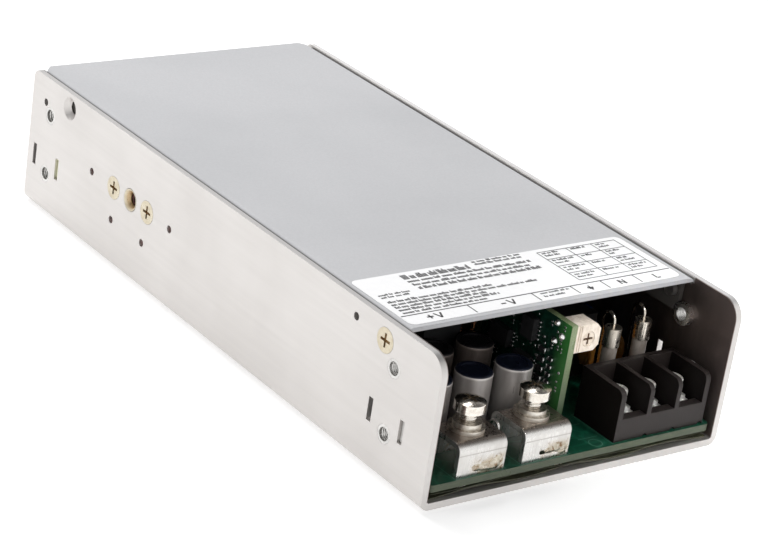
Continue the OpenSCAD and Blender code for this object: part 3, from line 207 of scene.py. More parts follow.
    def turn(self, node):
        """Puts a node at the end of the chain that turns the normal."""
        if self.normal is not None:
            self.tree.links.new(self.normal, node.inputs["Normal"])
        self.normal = node.outputs["Normal"]
        self.link(self.normal, self.bsdf.inputs["Normal"])
        return self


def sheet_aluminium():
    """Rolled aluminium: painted shade on the left rim, in the seam beside the cover and, dark
    brown, on the inner faces.
    """
    f = Finish("bare_aluminium", (0.64, 0.615, 0.60), 0.42, 0.9)
    blotch = f.noise(28)
    rolled = f.noise(1.2, stretch=(1, 0.03, 1))
    colour = f.tones(blotch, (0.645, 0.62, 0.60), (0.70, 0.675, 0.655), 0.35, 0.65)
    colour = f.mix(f.span(rolled, 0.3, 0.75, 0, 0.08), colour, (0.55, 0.53, 0.515))

    # Rim tops: painted shade on the left one, near the aluminium's own tone on the right one.
    right = f.zone("X", -1, 1)
    rim = f.both(f.facing("Z", 0.7, 0.95), f.zone("Z", 32.5, 33.0))
    rim_shade_tone = f.mix(right, (0.36, 0.35, 0.345), (0.62, 0.61, 0.605))
    colour = f.mix(rim, colour, rim_shade_tone)
    # Painted shade in the seam between the rims and the cover, darker on the left.
    seam_shade = f.both(rim, f.zone("X", WALL_BACK + 0.10, WALL_BACK + 0.25, 1, 0, mirrored=True))
    seam_shade_tone = f.mix(right, (0.06, 0.056, 0.054), (0.20, 0.195, 0.19))
    colour = f.mix(seam_shade, colour, seam_shade_tone)

    # Painted shade on the inner faces of the walls: dark brown streaks, lighter towards the
    # front.
    within = f.zone("X", WALL_BACK - 0.05, WALL_BACK + 0.10, 1, 0, mirrored=True)
    over_bend = f.both(f.zone("Z", 32.5, 32.8), f.zone("Y", -69.2, -69.0))
    inner_face_shade = f.both(within, f.zone("Z", 1.7, 2.1), f.math("SUBTRACT", 1.0, over_bend))
    streaks = f.noise(6, stretch=(1, 1, 0.4))
    stain_and_shade = f.tones(streaks, (0.06, 0.048, 0.042), (0.16, 0.13, 0.115), 0.3, 0.7)
    stain_and_shade = f.mix(f.zone("Y", -83.0, -64.0, 0.8, 0), stain_and_shade, (0.30, 0.235, 0.22))
    f.paint(f.mix(inner_face_shade, colour, stain_and_shade))
    f.polish(f.total(rolled, blotch, 0.5), 0.38, 0.5, 0.45, 1.0)
    return f.soften(0.25).bump(f.noise(0.35, 2), 0.01, 0.35)


def galvanised():
    """Zinc-coated sheet: faint spangle, with painted shade on the flanges' sides and on the
    underside.
    """
    f = Finish("galvanised_sheet", (0.48, 0.48, 0.495), 0.65, 0.1, specular_ior_level=0.3)
    spangle = f.cells(2.6, output="Color")
    fine = f.noise(0.45, 2)
    cloud = f.noise(40, 2)
    colour = f.tones(cloud, (0.475, 0.478, 0.492), (0.515, 0.516, 0.53), 0.35, 0.65)
    colour = f.mix(f.span(fine, 0.3, 0.7, 0, 0.22), colour, (0.38, 0.385, 0.40))
    colour = f.mix(f.span(spangle, 0.0, 1.0, 0, 0.10), colour, (0.61, 0.61, 0.62))
    # Painted shade on the faces that look sideways, towards the walls.
    colour = f.mix(f.facing("X", 0.55, 0.85, mirrored=True), colour, (0.10, 0.098, 0.1))
    # Painted shade on the underside, except at the rear edge.
    under = f.zone("Z", COVER_UNDER + 0.02, COVER_UNDER + 0.08, 1, 0)
    before_rear = f.zone("Y", 81.5, 81.8, 1, 0)
    f.paint(f.mix(f.both(under, before_rear), colour, (0.06, 0.055, 0.05)))
    f.polish(f.total(fine, spangle, 0.4), 0.56, 0.7, 0.3, 1.0)
    return f.soften(0.2).bump(fine, 0.012, 0.35)


def plated(name, light, dark, rough, blotch, metal=1.0, wear=0.25, line=None, shaded_from=None):
    """Plated metal: cloudy colour and fine drawn lines along one axis; painted shade past a given
    y.
    """
    f = Finish(name, light, rough, metal)
    cloud = f.noise(blotch, 4)
    lines = f.noise(0.5, stretch=line) if line else f.noise(0.7, 2)
    colour = f.tones(cloud, light, dark)
    colour = f.mix(f.span(lines, 0.5, 0.8, 0, wear), colour, shade(dark, 0.55))
    if shaded_from is not None:
        # Painted shade on what lies further back than the given y.
        colour = f.mix(f.zone("Y", shaded_from, shaded_from + 0.2), colour, (0.030, 0.022, 0.016))
    f.paint(colour)
    f.polish(f.total(cloud, lines), max(0.08, rough - 0.12), rough + 0.18, 0.7, 1.35)
    return f.bump(lines, 0.012, 0.25)


def tinned_bracket():
    """Tin plate with drawn lines, painted shade on the tops and along the bend's end, and solder
    stains low on each front.
    """
    f = Finish("tinned_copper", (0.76, 0.745, 0.72), 0.3, 0.95)
    cloud = f.noise(4, 4)
    lines = f.noise(0.6, 4, stretch=(1, 1, 0.06))
    colour = f.tones(cloud, (0.80, 0.785, 0.76), (0.70, 0.68, 0.65))
    # Painted shade on the faces that look up.
    up = f.facing("Z", 0.6, 0.9)
    scored = f.both(f.span(lines, 0.5, 0.8, 0, 0.22), f.math("SUBTRACT", 1.0, up))
    colour = f.mix(scored, colour, (0.45, 0.42, 0.38))
    colour = f.mix(f.both(up, 0.9), colour, (0.22, 0.18, 0.15))
    front = f.facing("Y", -0.8, -0.5, 1, 0)
    # A thin line of painted shade across each front, where the bend ends.
    line = f.band("Z", 9.85, 10.0, 10.1, 10.25)
    colour = f.mix(f.both(front, line, 0.45), colour, (0.30, 0.27, 0.24))
    left = f.band("X", -28.5, -25.5, -19.5, -18.5)
    right = f.band("X", -10.0, -7.5, -2.2, -1.8)
    low = f.both(front, f.zone("Z", 7.8, 9.5, 1, 0), f.total(left, right))
    stain_and_shade = f.span(f.noise(2.2, 4, twist=0.8), 0.4, 0.62, 0.1, 0.75)
    colour = f.mix(f.both(low, stain_and_shade), colour, (0.46, 0.36, 0.22))
    burnt = f.span(f.noise(1.3, 4, twist=0.9), 0.55, 0.66, 0, 0.85)
    f.paint(f.mix(f.both(low, burnt), colour, (0.16, 0.085, 0.03)))
    f.polish(f.total(cloud, lines), 0.2, 0.48, 0.75, 1.35)
    return f.soften(0.3).bump(lines, 0.012, 0.3)


def burnt_solder():
    f = Finish("solder", (0.66, 0.645, 0.61), 0.3, 1.0)
    cloud = f.noise(0.8, 4)
    burn = f.span(f.noise(1.3, twist=0.8), 0.52, 0.68)
    colour = f.tones(cloud, (0.66, 0.62, 0.53), (0.44, 0.38, 0.29), 0.3, 0.7)
    f.paint(f.mix(f.both(burn, 0.9), colour, (0.20, 0.105, 0.04)))
    f.polish(cloud, 0.2, 0.45)
    return f.bump(f.noise(0.35), 0.05, 0.6)


def clean_solder():
    f = Finish("clean_solder", (0.86, 0.86, 0.85), 0.2, 1.0)
    cloud = f.noise(0.5)
    f.paint(f.tones(cloud, (0.92, 0.92, 0.91), (0.7, 0.7, 0.69), 0.3, 0.7))
    f.polish(cloud, 0.15, 0.34)
    return f.bump(f.noise(0.3, 2), 0.03, 0.4)


def circuit_board(name, axis, tone=1.0):
    """Green solder resist over faint tracks, with bare fibreglass on the cut edges.

    axis is the direction that the board's faces look in; an X board stands upright."""
    f = Finish(name, (0.006, 0.075, 0.042), 0.32, coat_weight=0.3, coat_roughness=0.15)
    tracks = f.span(f.cells(5.5, "DISTANCE_TO_EDGE"), 0.035, 0.06, 1, 0)
    lands = f.span(f.cells(1.9, metric="CHEBYCHEV"), 0.16, 0.2, 1, 0)
    cloud = f.noise(9)
    # A tone below one darkens the whole finish: painted shade.
    deep, lit = shade((0.0035, 0.050, 0.028), tone), shade((0.007, 0.086, 0.046), tone)
    colour = f.tones(cloud, deep, lit, 0.35, 0.65)
    colour = f.mix(f.both(tracks, 0.5), colour, shade((0.012, 0.135, 0.075), tone))
    colour = f.mix(f.both(lands, 0.45), colour, shade((0.02, 0.17, 0.10), tone))
    if axis == "X":
        # Painted light on the upright board's face near the front.
        colour = f.mix(f.zone("Y", -72.2, -68.5, 0.95, 0), colour, (0.040, 0.190, 0.040))
        edge = f.tones(f.noise(0.3, 2), (0.16, 0.215, 0.10), (0.27, 0.33, 0.17), 0.3, 0.7)
        edge = f.mix(f.zone("Z", 10, 27, 0.9, 0), edge, (0.030, 0.060, 0.024))
    else:
        weave = f.noise(0.3, 2, stretch=(0.15, 0.15, 1))
        edge = f.tones(weave, (0.028, 0.043, 0.017), (0.052, 0.070, 0.029), 0.3, 0.7)
    f.paint(f.mix(f.facing(axis, 0.6, 0.8, mirrored=True), edge, colour))
    f.polish(cloud, 0.26, 0.4)
    return f.bump(f.total(tracks, lands), 0.02, 0.4)


def moulded(name, light, dark, rough, grain=0.25, depth=0.015, edge=0.2, painted_shade_left=False,
            **sockets):
    """Moulded plastic or resin: fine texture, cloudy tone, softened edges."""
    f = Finish(name, light, rough, **sockets)
    cloud = f.noise(5)
    fine = f.noise(grain, 2)
    colour = f.tones(f.total(cloud, fine, 0.4), light, dark, 0.5, 0.9)
    # Painted shade on the faces that look left, with less specular shine there too.
    if painted_shade_left:
        colour = f.mix(f.facing("X", -0.9, -0.6, 0.85, 0), colour, shade(dark, 0.2))
        f.link(f.facing("X", -0.9, -0.6, 0.06, 0.28), f.bsdf.inputs["Specular IOR Level"])
    f.paint(colour)
    f.polish(f.total(cloud, fine), rough - 0.08, rough + 0.12, 0.7, 1.3)
    return f.soften(edge).bump(fine, depth, 0.5)


def dipped(name, light, dark, rough=0.22):
    """Dipped resin coat: orange peel, runs of tone, gloss."""
    f = Finish(name, light, rough, coat_weight=0.5, coat_roughness=0.12)
    run = f.noise(2.5, stretch=(1, 1, 0.5))
    f.paint(f.tones(run, light, dark))
    f.polish(run, rough - 0.06, rough + 0.12)
    return f.bump(f.noise(0.9, 2), 0.06, 0.4)


SLEEVE_RIM = 0.42


def sleeve(name, node, side, side_dark, top):
    """Capacitor sleeve: satin side with soft creases, a painted highlight under the rim and a
    mottled top.
    """
    f = Finish(name, side, 0.34, 0.35)
    crease = f.noise(2.2, stretch=(1, 1, 0.25))
    colour = f.tones(crease, side, side_dark)
    _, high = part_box(node)
    rim = high[2] / MM - SLEEVE_RIM
    # A lighter band just under the rim: painted highlight.
    colour = f.mix(f.zone("Z", rim - 0.5, rim - 0.1), colour, shade(side, 1.6))
    mottled = f.tones(f.noise(1.1), top, shade(top, 0.5))
    f.paint(f.mix(f.zone("Z", rim, rim + 0.12), colour, mottled))
    f.polish(crease, 0.26, 0.44)
    return f.bump(crease, 0.05, 0.35)


def wound(name, light, dark):
    """Enamelled wire: tone that changes from turn to turn, glossy enamel."""
    f = Finish(name, light, 0.3, 0.75, coat_weight=0.5, coat_roughness=0.1)
    tone = f.noise(0.9, 2)
    f.paint(f.tones(tone, light, dark))
    f.polish(tone, 0.2, 0.4)
    return f.bump(f.noise(0.2, 2), 0.01, 0.3)


def taped(name, light, dark):
    """Polyester tape: overlapping bands, slight wrinkles, satin shine."""
    f = Finish(name, light, 0.35, coat_weight=0.25, coat_roughness=0.2)
    wrinkle = f.noise(2.4, stretch=(0.4, 1, 1))
    bands = f.waves(5.0, "Y", 0.4)
    colour = f.tones(wrinkle, light, dark)
    f.paint(f.mix(f.span(bands, 0.92, 1.0, 0, 0.4), colour, shade(dark, 0.5)))
    f.polish(wrinkle, 0.28, 0.48)
    return f.bump(f.total(wrinkle, bands), 0.06, 0.35)


def film():
    f = Finish("insulating_film", (0.055, 0.058, 0.035), 0.35)
    cloud = f.noise(7, 4)
    f.paint(f.tones(cloud, (0.075, 0.078, 0.045), (0.030, 0.030, 0.020)))
    f.polish(cloud, 0.24, 0.5)
    return f.bump(f.noise(5, 2), 0.2, 0.4)


def slot_film():
    """Pale film: grey at the front of the case, yellow-green at its rear."""
    f = Finish("slot_film", (0.70, 0.71, 0.60), 0.4)
    cloud = f.noise(1.4)
    fresh = f.tones(cloud, (0.72, 0.71, 0.69), (0.46, 0.45, 0.43))
    aged = f.tones(cloud, (0.84, 0.86, 0.56), (0.70, 0.73, 0.42))
    f.paint(f.mix(f.zone("Y", -10, 10), fresh, aged))
    f.polish(cloud, 0.32, 0.5)
    return f.bump(f.noise(0.5, 2), 0.02, 0.4)


def fuse_tube():
    f = Finish("fuse_ceramic", (0.40, 0.385, 0.37), 0.3, coat_weight=0.4, coat_roughness=0.15)
    cloud = f.noise(1.6, stretch=(1, 1, 0.4))
    f.paint(f.tones(cloud, (0.36, 0.315, 0.28), (0.21, 0.18, 0.155)))
    f.polish(cloud, 0.22, 0.42)
    return f.bump(f.noise(0.4, 2), 0.02, 0.3)


def trimmer(name, light, dark, slot=None):
    """Trimmer moulding; painted shade in a slot, rising between two depths and held behind them.
    """
    f = Finish(name, light, 0.5)
    cloud = f.noise(0.8, 4, stretch=(1, 1, 0.5))
    fine = f.noise(0.12, 2)
    colour = f.tones(f.total(cloud, fine, 0.5), light, dark, 0.6, 1.0)
    if slot:
        # Painted shade in the slot.
        colour = f.mix(f.zone("Y", *slot), colour, (0.24, 0.14, 0.075))
    f.paint(colour)
    f.polish(cloud, 0.42, 0.62)
    return f.soften(0.15).bump(fine, 0.02, 0.5)


def wall_screw(name, light, dark, deep):
    """Screws in the walls: painted shade in the cross recess, and grey inner ends."""
    rough = 0.34
    f = Finish(name, light, rough, 0.9)
    cloud = f.noise(1.5, 4)
    rings = f.noise(0.3)
    colour = f.tones(cloud, light, dark)
    # Painted shade in the cross recess.
    recess_shade = f.zone("X", WALL_FACE - 0.6, WALL_FACE - 0.1, 1, 0, mirrored=True)
    colour = f.mix(recess_shade, colour, deep)
    inner = f.zone("X", WALL_BACK - 0.7, WALL_BACK - 0.4, 1, 0, mirrored=True)
    f.paint(f.mix(inner, colour, (0.34, 0.33, 0.315)))
    f.polish(f.total(cloud, rings), rough - 0.1, rough + 0.16, 0.7, 1.3)
    return f.bump(rings, 0.02, 0.3)


def head_screw(name, light, dark, top_shade, rough, top_shade_amount=0.9, metal=1.0):
    """Plated screws and washers: bright sides, painted shade on the faces that look up."""
    f = Finish(name, light, rough, metal)
    cloud = f.noise(1.2, 4)
    fine = f.noise(0.6)
    colour = f.tones(cloud, light, dark)
    # Painted shade on the faces that look up, broken by noise.
    up = f.both(f.facing("Z", 0.75, 0.95), f.span(fine, 0.35, 0.6, top_shade_amount, 0.5 * top_shade_amount))
    f.paint(f.mix(up, colour, top_shade))
    f.polish(f.total(cloud, fine), rough, rough + 0.14, 0.7, 1.3)
    return f.bump(fine, 0.012, 0.2)


def paper():
    f = Finish("label_paper", (0.86, 0.86, 0.865), 0.38, coat_weight=0.2, coat_roughness=0.25)
    fibre = f.noise(1.2, 4)
    f.paint(f.tones(fibre, (0.90, 0.90, 0.905), (0.865, 0.865, 0.873), 0.3, 0.7))
    f.polish(fibre, 0.32, 0.46)
    return f.bump(fibre, 0.006, 0.3)


def ink(name, light, dark):
    f = Finish(name, light, 0.55)
    speck = f.noise(0.25)
    f.paint(f.tones(speck, light, dark))
    return f.polish(speck, 0.45, 0.65)


def ferrite():
    f = Finish("ferrite", (0.03, 0.03, 0.033), 0.5, 0.3)
    grit = f.noise(0.3)
    f.paint(f.tones(grit, (0.045, 0.045, 0.05), (0.018, 0.018, 0.02)))
    f.polish(grit, 0.4, 0.65)
    return f.soften(0.2).bump(grit, 0.03, 0.5)


bright = plated("bright_zinc", (0.72, 0.71, 0.69), (0.58, 0.57, 0.55), rough=0.28, blotch=2.0)
nickel = plated("nickel_plate", (0.80, 0.74, 0.65), (0.68, 0.61, 0.52), rough=0.3, blotch=4.0,
                wear=0.08)
# Fuse caps and leads: painted shade on the leads behind y -62.1.
fuse_metal = plated("fuse_nickel", (0.84, 0.78, 0.69), (0.70, 0.63, 0.54), rough=0.28,
                    blotch=4.0, wear=0.1, shaded_from=-62.1)
tin_wire = plated("tinned_wire", (0.80, 0.79, 0.77), (0.62, 0.60, 0.57), rough=0.2, blotch=1.2)
# Near white and barely metal, so the plates in the shaded bays show bright: painted highlight.
lit_plate_tin = plated("lit_plate_tin", (0.99, 0.98, 0.96), (0.94, 0.92, 0.88), rough=0.36,
                   blotch=2.5, metal=0.1, wear=0.06).soften(0.4)
heatsink = plated("heatsink_aluminium", (0.66, 0.66, 0.67), (0.56, 0.56, 0.57), rough=0.4,
                  blotch=8, metal=0.9, wear=0.2, line=(1, 1, 0.04))
washer = head_screw("washer_nickel", (0.95, 0.91, 0.83), (0.80, 0.74, 0.65),
                    (0.16, 0.125, 0.095), rough=0.3)
heads = head_screw("screw_nickel", (0.93, 0.89, 0.82), (0.76, 0.70, 0.62),
                   (0.20, 0.165, 0.13), rough=0.13, top_shade_amount=0.8)
# A lighter, less metallic copy of the screw finish for the shaded bays: painted light.
lit_bay_heads = head_screw("lit_bay_screw_nickel", (0.99, 0.97, 0.93), (0.93, 0.90, 0.85),
                       (0.66, 0.60, 0.52), rough=0.26, top_shade_amount=0.35, metal=0.25).soften(0.3)
yellow = wall_screw("yellow_zinc", (0.68, 0.62, 0.49), (0.55, 0.48, 0.35), (0.50, 0.37, 0.22))
bracket_tin = tinned_bracket()
board_green = circuit_board("circuit_board", "Z")
# The upright board: a darker copy of the board's finish, as painted shade.
shaded_upright_green = circuit_board("shaded_upright_board", "X", tone=0.28)
block_plastic = moulded("block_moulding", (0.018, 0.0135, 0.0122), (0.025, 0.0195, 0.018),
                        rough=0.42, grain=0.2, depth=0.02, edge=0.3, painted_shade_left=True,
                        specular_ior_level=0.28)
epoxy = moulded("chip_package", (0.012, 0.012, 0.013), (0.020, 0.020, 0.021), rough=0.5,
                specular_ior_level=0.3)
bobbin = moulded("bobbin_moulding", (0.022, 0.021, 0.021), (0.034, 0.033, 0.032), rough=0.42)
coat = moulded("core_coat", (0.05, 0.058, 0.035), (0.035, 0.040, 0.026), rough=0.55, grain=0.4,
               depth=0.05)
body_box = moulded("capacitor_box", (0.014, 0.013, 0.013), (0.022, 0.020, 0.019), rough=0.42,
                   specular_ior_level=0.3)
rubber = moulded("thermal_rubber", (0.40, 0.19, 0.18), (0.33, 0.15, 0.145), rough=0.7, grain=0.5,
                 depth=0.04)
relay_case = moulded("relay_case", (0.020, 0.020, 0.024), (0.030, 0.030, 0.034), rough=0.36)
copper = wound("copper_wire", (0.52, 0.20, 0.075), (0.36, 0.12, 0.045))
tape = taped("winding_tape", (0.62, 0.43, 0.06), (0.52, 0.34, 0.045))
core = ferrite()
tube = fuse_tube()
sheet_film = film()
joint = burnt_solder()
pads = clean_solder()
small_cap = sleeve("capacitor_sleeve", "output_capacitor_1", (0.42, 0.395, 0.38),
                   (0.31, 0.285, 0.27), (0.010, 0.014, 0.032))
# The rear row: a darker, browner copy of the sleeve, as painted shade.
shaded_rear_cap = sleeve("shaded_rear_capacitor_sleeve", "output_capacitor_4", (0.17, 0.14, 0.125),
                  (0.115, 0.092, 0.082), (0.016, 0.014, 0.016))
large_cap = sleeve("bulk_sleeve", "bulk_capacitor_1", (0.02, 0.02, 0.024),
                   (0.032, 0.032, 0.036), (0.32, 0.32, 0.33))

FINISHES = {
    "chassis": sheet_aluminium(),
    "top_cover": galvanised(),
    "cover_screws": yellow, "clamp_screws": yellow,
    "clinch_nuts": bright, "board_standoffs": bright, "board_screws": bright, "clamp_bar": bright,
    "insulating_sheet": sheet_film,
    "main_board": board_green, "control_board": shaded_upright_green,
    "positive_terminal": bracket_tin, "negative_terminal": bracket_tin,
    "terminal_screws": heads, "spring_washers": washer, "flat_washers": washer,
    "terminal_nuts": nickel, "fuse_caps": fuse_metal,
    "wire_link": tin_wire, "control_pins": tin_wire,
    "input_block": block_plastic, "input_screws": lit_bay_heads,
    "input_terminals": lit_plate_tin, "input_clamps": lit_plate_tin,
    "control_chips": epoxy, "bridge_rectifier": epoxy,
    "power_transistors": epoxy, "rectifiers": epoxy,
    "trimmer_body": trimmer("trimmer_moulding", (0.95, 0.85, 0.74), (0.70, 0.59, 0.48)),
    "trimmer_rotor": trimmer("trimmer_rotor", (0.88, 0.77, 0.65), (0.66, 0.54, 0.42),
                             slot=(-73.02, -72.9)),
    "line_fuse": tube, "neutral_fuse": tube,
    "varistor": dipped("varistor_coat", (0.22, 0.095, 0.018), (0.14, 0.055, 0.012)),
    "disc_capacitors": dipped("disc_coat", (0.015, 0.055, 0.20), (0.010, 0.040, 0.15)),
    "thermistor": dipped("thermistor_coat", (0.025, 0.035, 0.016), (0.017, 0.024, 0.011),
                         rough=0.4),
    "line_capacitor_1": body_box, "line_capacitor_2": body_box, "relay": relay_case,
    "filter_core": coat, "output_choke_core": coat,
    "filter_winding": copper, "output_choke_winding": copper,
    "bridge_heatsink": heatsink, "rectifier_heatsink": heatsink,
    "bulk_capacitor_1": large_cap, "bulk_capacitor_2": large_cap,
    "output_capacitor_1": small_cap, "output_capacitor_2": small_cap,
    "output_capacitor_3": small_cap, "output_capacitor_4": shaded_rear_cap,
    "output_capacitor_5": shaded_rear_cap, "output_capacitor_6": shaded_rear_cap,
    "transformer_core": core, "choke_core": core,
    "transformer_bobbin": bobbin, "choke_bobbin": bobbin,
    "transformer_winding": tape, "choke_winding": tape,
    "thermal_pad": rubber,
}
for name, obj in NODES.items():
    obj.data.materials.clear()
    obj.data.materials.append(FINISHES[name].mat)


# Making pieces
def piece(name, mesh, finish, smooth=False):
    """Turns a bmesh, in millimetres, into an object that rides on the supply."""
    bmesh.ops.scale(mesh, vec=(MM, MM, MM), verts=mesh.verts)
    data = bpy.data.meshes.new(name)
    mesh.to_mesh(data)
    mesh.free()
    data.materials.append(finish.mat)
    for polygon in data.polygons:
        polygon.use_smooth = smooth
    obj = bpy.data.objects.new(name, data)
    bpy.context.scene.collection.objects.link(obj)
    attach(obj, BODY)


def loft(mesh, rings, closed=True):
    """Joins rings of points, in order, with quads; closed rings wrap round."""
    rows = [[mesh.verts.new(p) for p in ring] for ring in rings]
    for a, b in zip(rows, rows[1:]):
        n = len(a)
        for i in range(n if closed else n - 1):
            mesh.faces.new((a[i], a[(i + 1) % n], b[(i + 1) % n], b[i]))
    return rows


def capped(mesh, rings):
    """A loft of closed rings with a face over each end."""
    rows = loft(mesh, rings)
    mesh.faces.new(rows[-1])
    mesh.faces.new(list(reversed(rows[0])))


def rounded(x0, y0, x1, y1, r, steps=6):
    """The outline of a rectangle with rounded corners."""
    points = []
    corners = ((x1 - r, y1 - r), (x0 + r, y1 - r), (x0 + r, y0 + r), (x1 - r, y0 + r))
    for quarter, (cx, cy) in enumerate(corners):
        for k in range(steps + 1):
            a = math.radians(90 * quarter + 90 * k / steps)
            points.append((cx + r * math.cos(a), cy + r * math.sin(a)))
    return points


def stroke(mesh, a, b, width, z):
    """A flat printed line from a to b."""
    a, b = Vector(a), Vector(b)
    along = (b - a).normalized()
    side = Vector((-along.y, along.x)) * width / 2
    corners = (a - side, b - side, b + side, a + side)
    mesh.faces.new([mesh.verts.new((p.x, p.y, z)) for p in corners])


LUMP_RINGS = 6
LUMP_SIDES = 18


def lump(mesh, centre, normal, radius, height, seed, squeeze=1.0):
    """A small irregular dome of solder that stands on a surface."""
    turn = Vector(normal).to_track_quat("Z", "Y").to_matrix()
    rings = []
    for j in range(LUMP_RINGS + 1):
        rise = j / LUMP_RINGS * math.pi / 2
        r = radius * math.cos(rise) ** squeeze if j < LUMP_RINGS else 0.02 * radius
        ring = []
        for i in range(LUMP_SIDES):
            a = math.tau * i / LUMP_SIDES
            p = Vector((r * math.cos(a), r * math.sin(a), height * math.sin(rise)))
            p *= 1 + 0.18 * noise.noise(p * (1.4 / radius) + Vector((seed, 0, 0)))
            p.z -= 0.04
            ring.append(Vector(centre) + turn @ p)
        rings.append(ring)
    capped(mesh, rings)


UP = (0, 0, 1)
LEFT = (-1, 0, 0)

# Label on the cover: x0, y0, x1, y1, before it is turned about its front left corner
LABEL = (-37.4, -68.0, 36.5, -46.2)
LABEL_TURN = math.radians(0.55)
LABEL_CORNER = 1.6
PAPER_T = 0.1
PAPER_EDGE = 0.04
PAPER_ROUND = 0.03
PAPER_LIFT = 0.01
PRINT_Z = COVER_TOP + PAPER_T + 0.02

# Rule along the front, the cells in front of it and the marks in them: word, x, height
RULE_Y = -64.0
RULE_WIDTH = 0.34
RULE_MARGIN = 0.25
CELLS = (-20.2, -3.0, 7.7, 16.1, 25.3)
CELL_WIDTH = 0.3
CELL_MARGIN = 0.35
MARKS = (("+V", -32.0, 2.1), ("-V", -12.9, 2.1), ("E", 10.8, 1.9), ("N", 20.0, 1.9),
         ("L", 30.0, 1.9))
MARK_Y = -67.0
MARK_WIDTH = 0.46

# Strokes of the marks, in a square of one unit; E is the earth sign
GLYPHS = {
    "+": [((0.0, 0.5), (0.8, 0.5)), ((0.4, 0.1), (0.4, 0.9))],
    "-": [((0.1, 0.45), (0.7, 0.45))],
    "V": [((0.0, 1.0), (0.42, 0.0)), ((0.42, 0.0), (0.84, 1.0))],
    "N": [((0.05, 0.0), (0.05, 1.0)), ((0.05, 1.0), (0.75, 0.0)), ((0.75, 0.0), (0.75, 1.0))],
    "L": [((0.1, 1.0), (0.1, 0.0)), ((0.1, 0.0), (0.65, 0.0))],
    "E": [((0.5, 1.0), (0.5, 0.5)), ((0.05, 0.5), (0.95, 0.5)),
          ((0.22, 0.27), (0.78, 0.27)), ((0.38, 0.04), (0.62, 0.04))],
}

# Ruled table, and the print in its columns from x0 to x1
TABLE = (12.0, -62.2, 34.4, -47.7)
TABLE_ROWS = 4
TABLE_RULES = (12.0, 12.0 + 8.2, 12.0 + 15.4, 34.4)
TABLE_WIDTH = 0.24
TABLE_LAP = 0.08
TABLE_PRINT_Y = -61.0
TABLE_PITCH = 3.7
COLUMNS = ((12.8, 19.0), (21.0, 26.2), (28.2, 33.4))

# Rows of print: x0, x1, y, height
ROWS = (
    (-25.4, -7.4, -49.5, 1.4), (-5.6, 7.6, -47.3, 0.62), (-5.6, 7.2, -48.5, 0.62),
    (-25.4, 7.8, -51.0, 0.7), (-25.2, 6.6, -52.6, 0.7), (-25.0, 8.4, -54.4, 0.85),
    (-35.8, -27.6, -54.6, 0.5), (-35.8, -28.4, -55.7, 0.5),
    (-35.8, -8.6, -58.0, 0.66), (-35.8, 3.2, -59.3, 0.66), (-35.8, -12.0, -60.6, 0.66),
    (-35.8, -9.4, -61.9, 0.66), (-35.8, -14.0, -63.2, 0.6),
    (-1.2, 6.6, -65.2, 0.5), (-1.2, 4.4, -66.6, 0.5),
)
WORD = (0.9, 3.2)
DASH = (0.30, 0.55)
DASH_HEIGHTS = (0.66, 0.7, 1.0)
DASH_GAP = 0.09
SHORTEST_DASH = 0.15
SHORTEST_WORD = 0.4
WORD_GAP = 0.36


def label_sheet():
    mesh = bmesh.new()
    x0, y0, x1, y1 = LABEL
    e = PAPER_EDGE
    outline = rounded(*LABEL, LABEL_CORNER)
    inner = rounded(x0 + e, y0 + e, x1 - e, y1 - e, LABEL_CORNER - e)
    capped(mesh, [[(*p, COVER_TOP + PAPER_LIFT) for p in outline],
                  [(*p, COVER_TOP + PAPER_T - PAPER_ROUND) for p in outline],
                  [(*p, COVER_TOP + PAPER_T) for p in inner]])
    return mesh


def mark(mesh, word, x, size):
    for letter in word:
        for a, b in GLYPHS[letter]:
            ends = [(x + p[0] * size, MARK_Y + p[1] * size) for p in (a, b)]
            stroke(mesh, *ends, MARK_WIDTH, PRINT_Z)
        x += 1.1 * size


def label_rules():
    mesh = bmesh.new()
    ends = [(LABEL[0] + RULE_MARGIN, RULE_Y), (LABEL[2] - RULE_MARGIN, RULE_Y)]
    stroke(mesh, *ends, RULE_WIDTH, PRINT_Z)
    for x in CELLS:
        stroke(mesh, (x, RULE_Y), (x, LABEL[1] + CELL_MARGIN), CELL_WIDTH, PRINT_Z)
    for word, x, size in MARKS:
        mark(mesh, word, x, size)
    x0, y0, x1, y1 = TABLE
    for k in range(TABLE_ROWS + 1):
        y = y0 + (y1 - y0) * k / TABLE_ROWS
        stroke(mesh, (x0, y), (x1, y), TABLE_WIDTH, PRINT_Z)
    for x in TABLE_RULES:
        stroke(mesh, (x, y0 - TABLE_LAP), (x, y1 + TABLE_LAP), TABLE_WIDTH, PRINT_Z)
    return mesh


def print_row(mesh, rng, x0, x1, y, height):
    """A row of small dashes, as print too small to read."""
    x = x0
    while x < x1 - SHORTEST_WORD:
        end = x + min(rng.uniform(*WORD), x1 - x)
        while x < end - SHORTEST_DASH:
            w = min(rng.uniform(*DASH), end - x)
            tall = 1.5 * height * rng.choice(DASH_HEIGHTS)
            stroke(mesh, (x, y + tall / 2), (x + w, y + tall / 2), tall, PRINT_Z)
            x += w + DASH_GAP
        x = end + WORD_GAP


def label_rows():
    mesh = bmesh.new()
    rng = random.Random(7)
    for row in ROWS:
        print_row(mesh, rng, *row)
    for row in range(TABLE_ROWS):
        y = TABLE_PRINT_Y + TABLE_PITCH * row
        for col, (x0, x1) in enumerate(COLUMNS):
            print_row(mesh, rng, x0, x1 - rng.uniform(0, 2.5), y + 1.1, 0.55)
            if col != 1:
                print_row(mesh, rng, x0, x1 - rng.uniform(1, 3.5), y - 0.1, 0.5)
    return mesh


def label_piece(name, mesh, finish):
    """A piece of the label, turned with it."""
    turn = Matrix.Rotation(LABEL_TURN, 3, "Z")
    bmesh.ops.rotate(mesh, cent=(LABEL[0], LABEL[1], 0), matrix=turn, verts=mesh.verts)
    piece(name, mesh, finish)


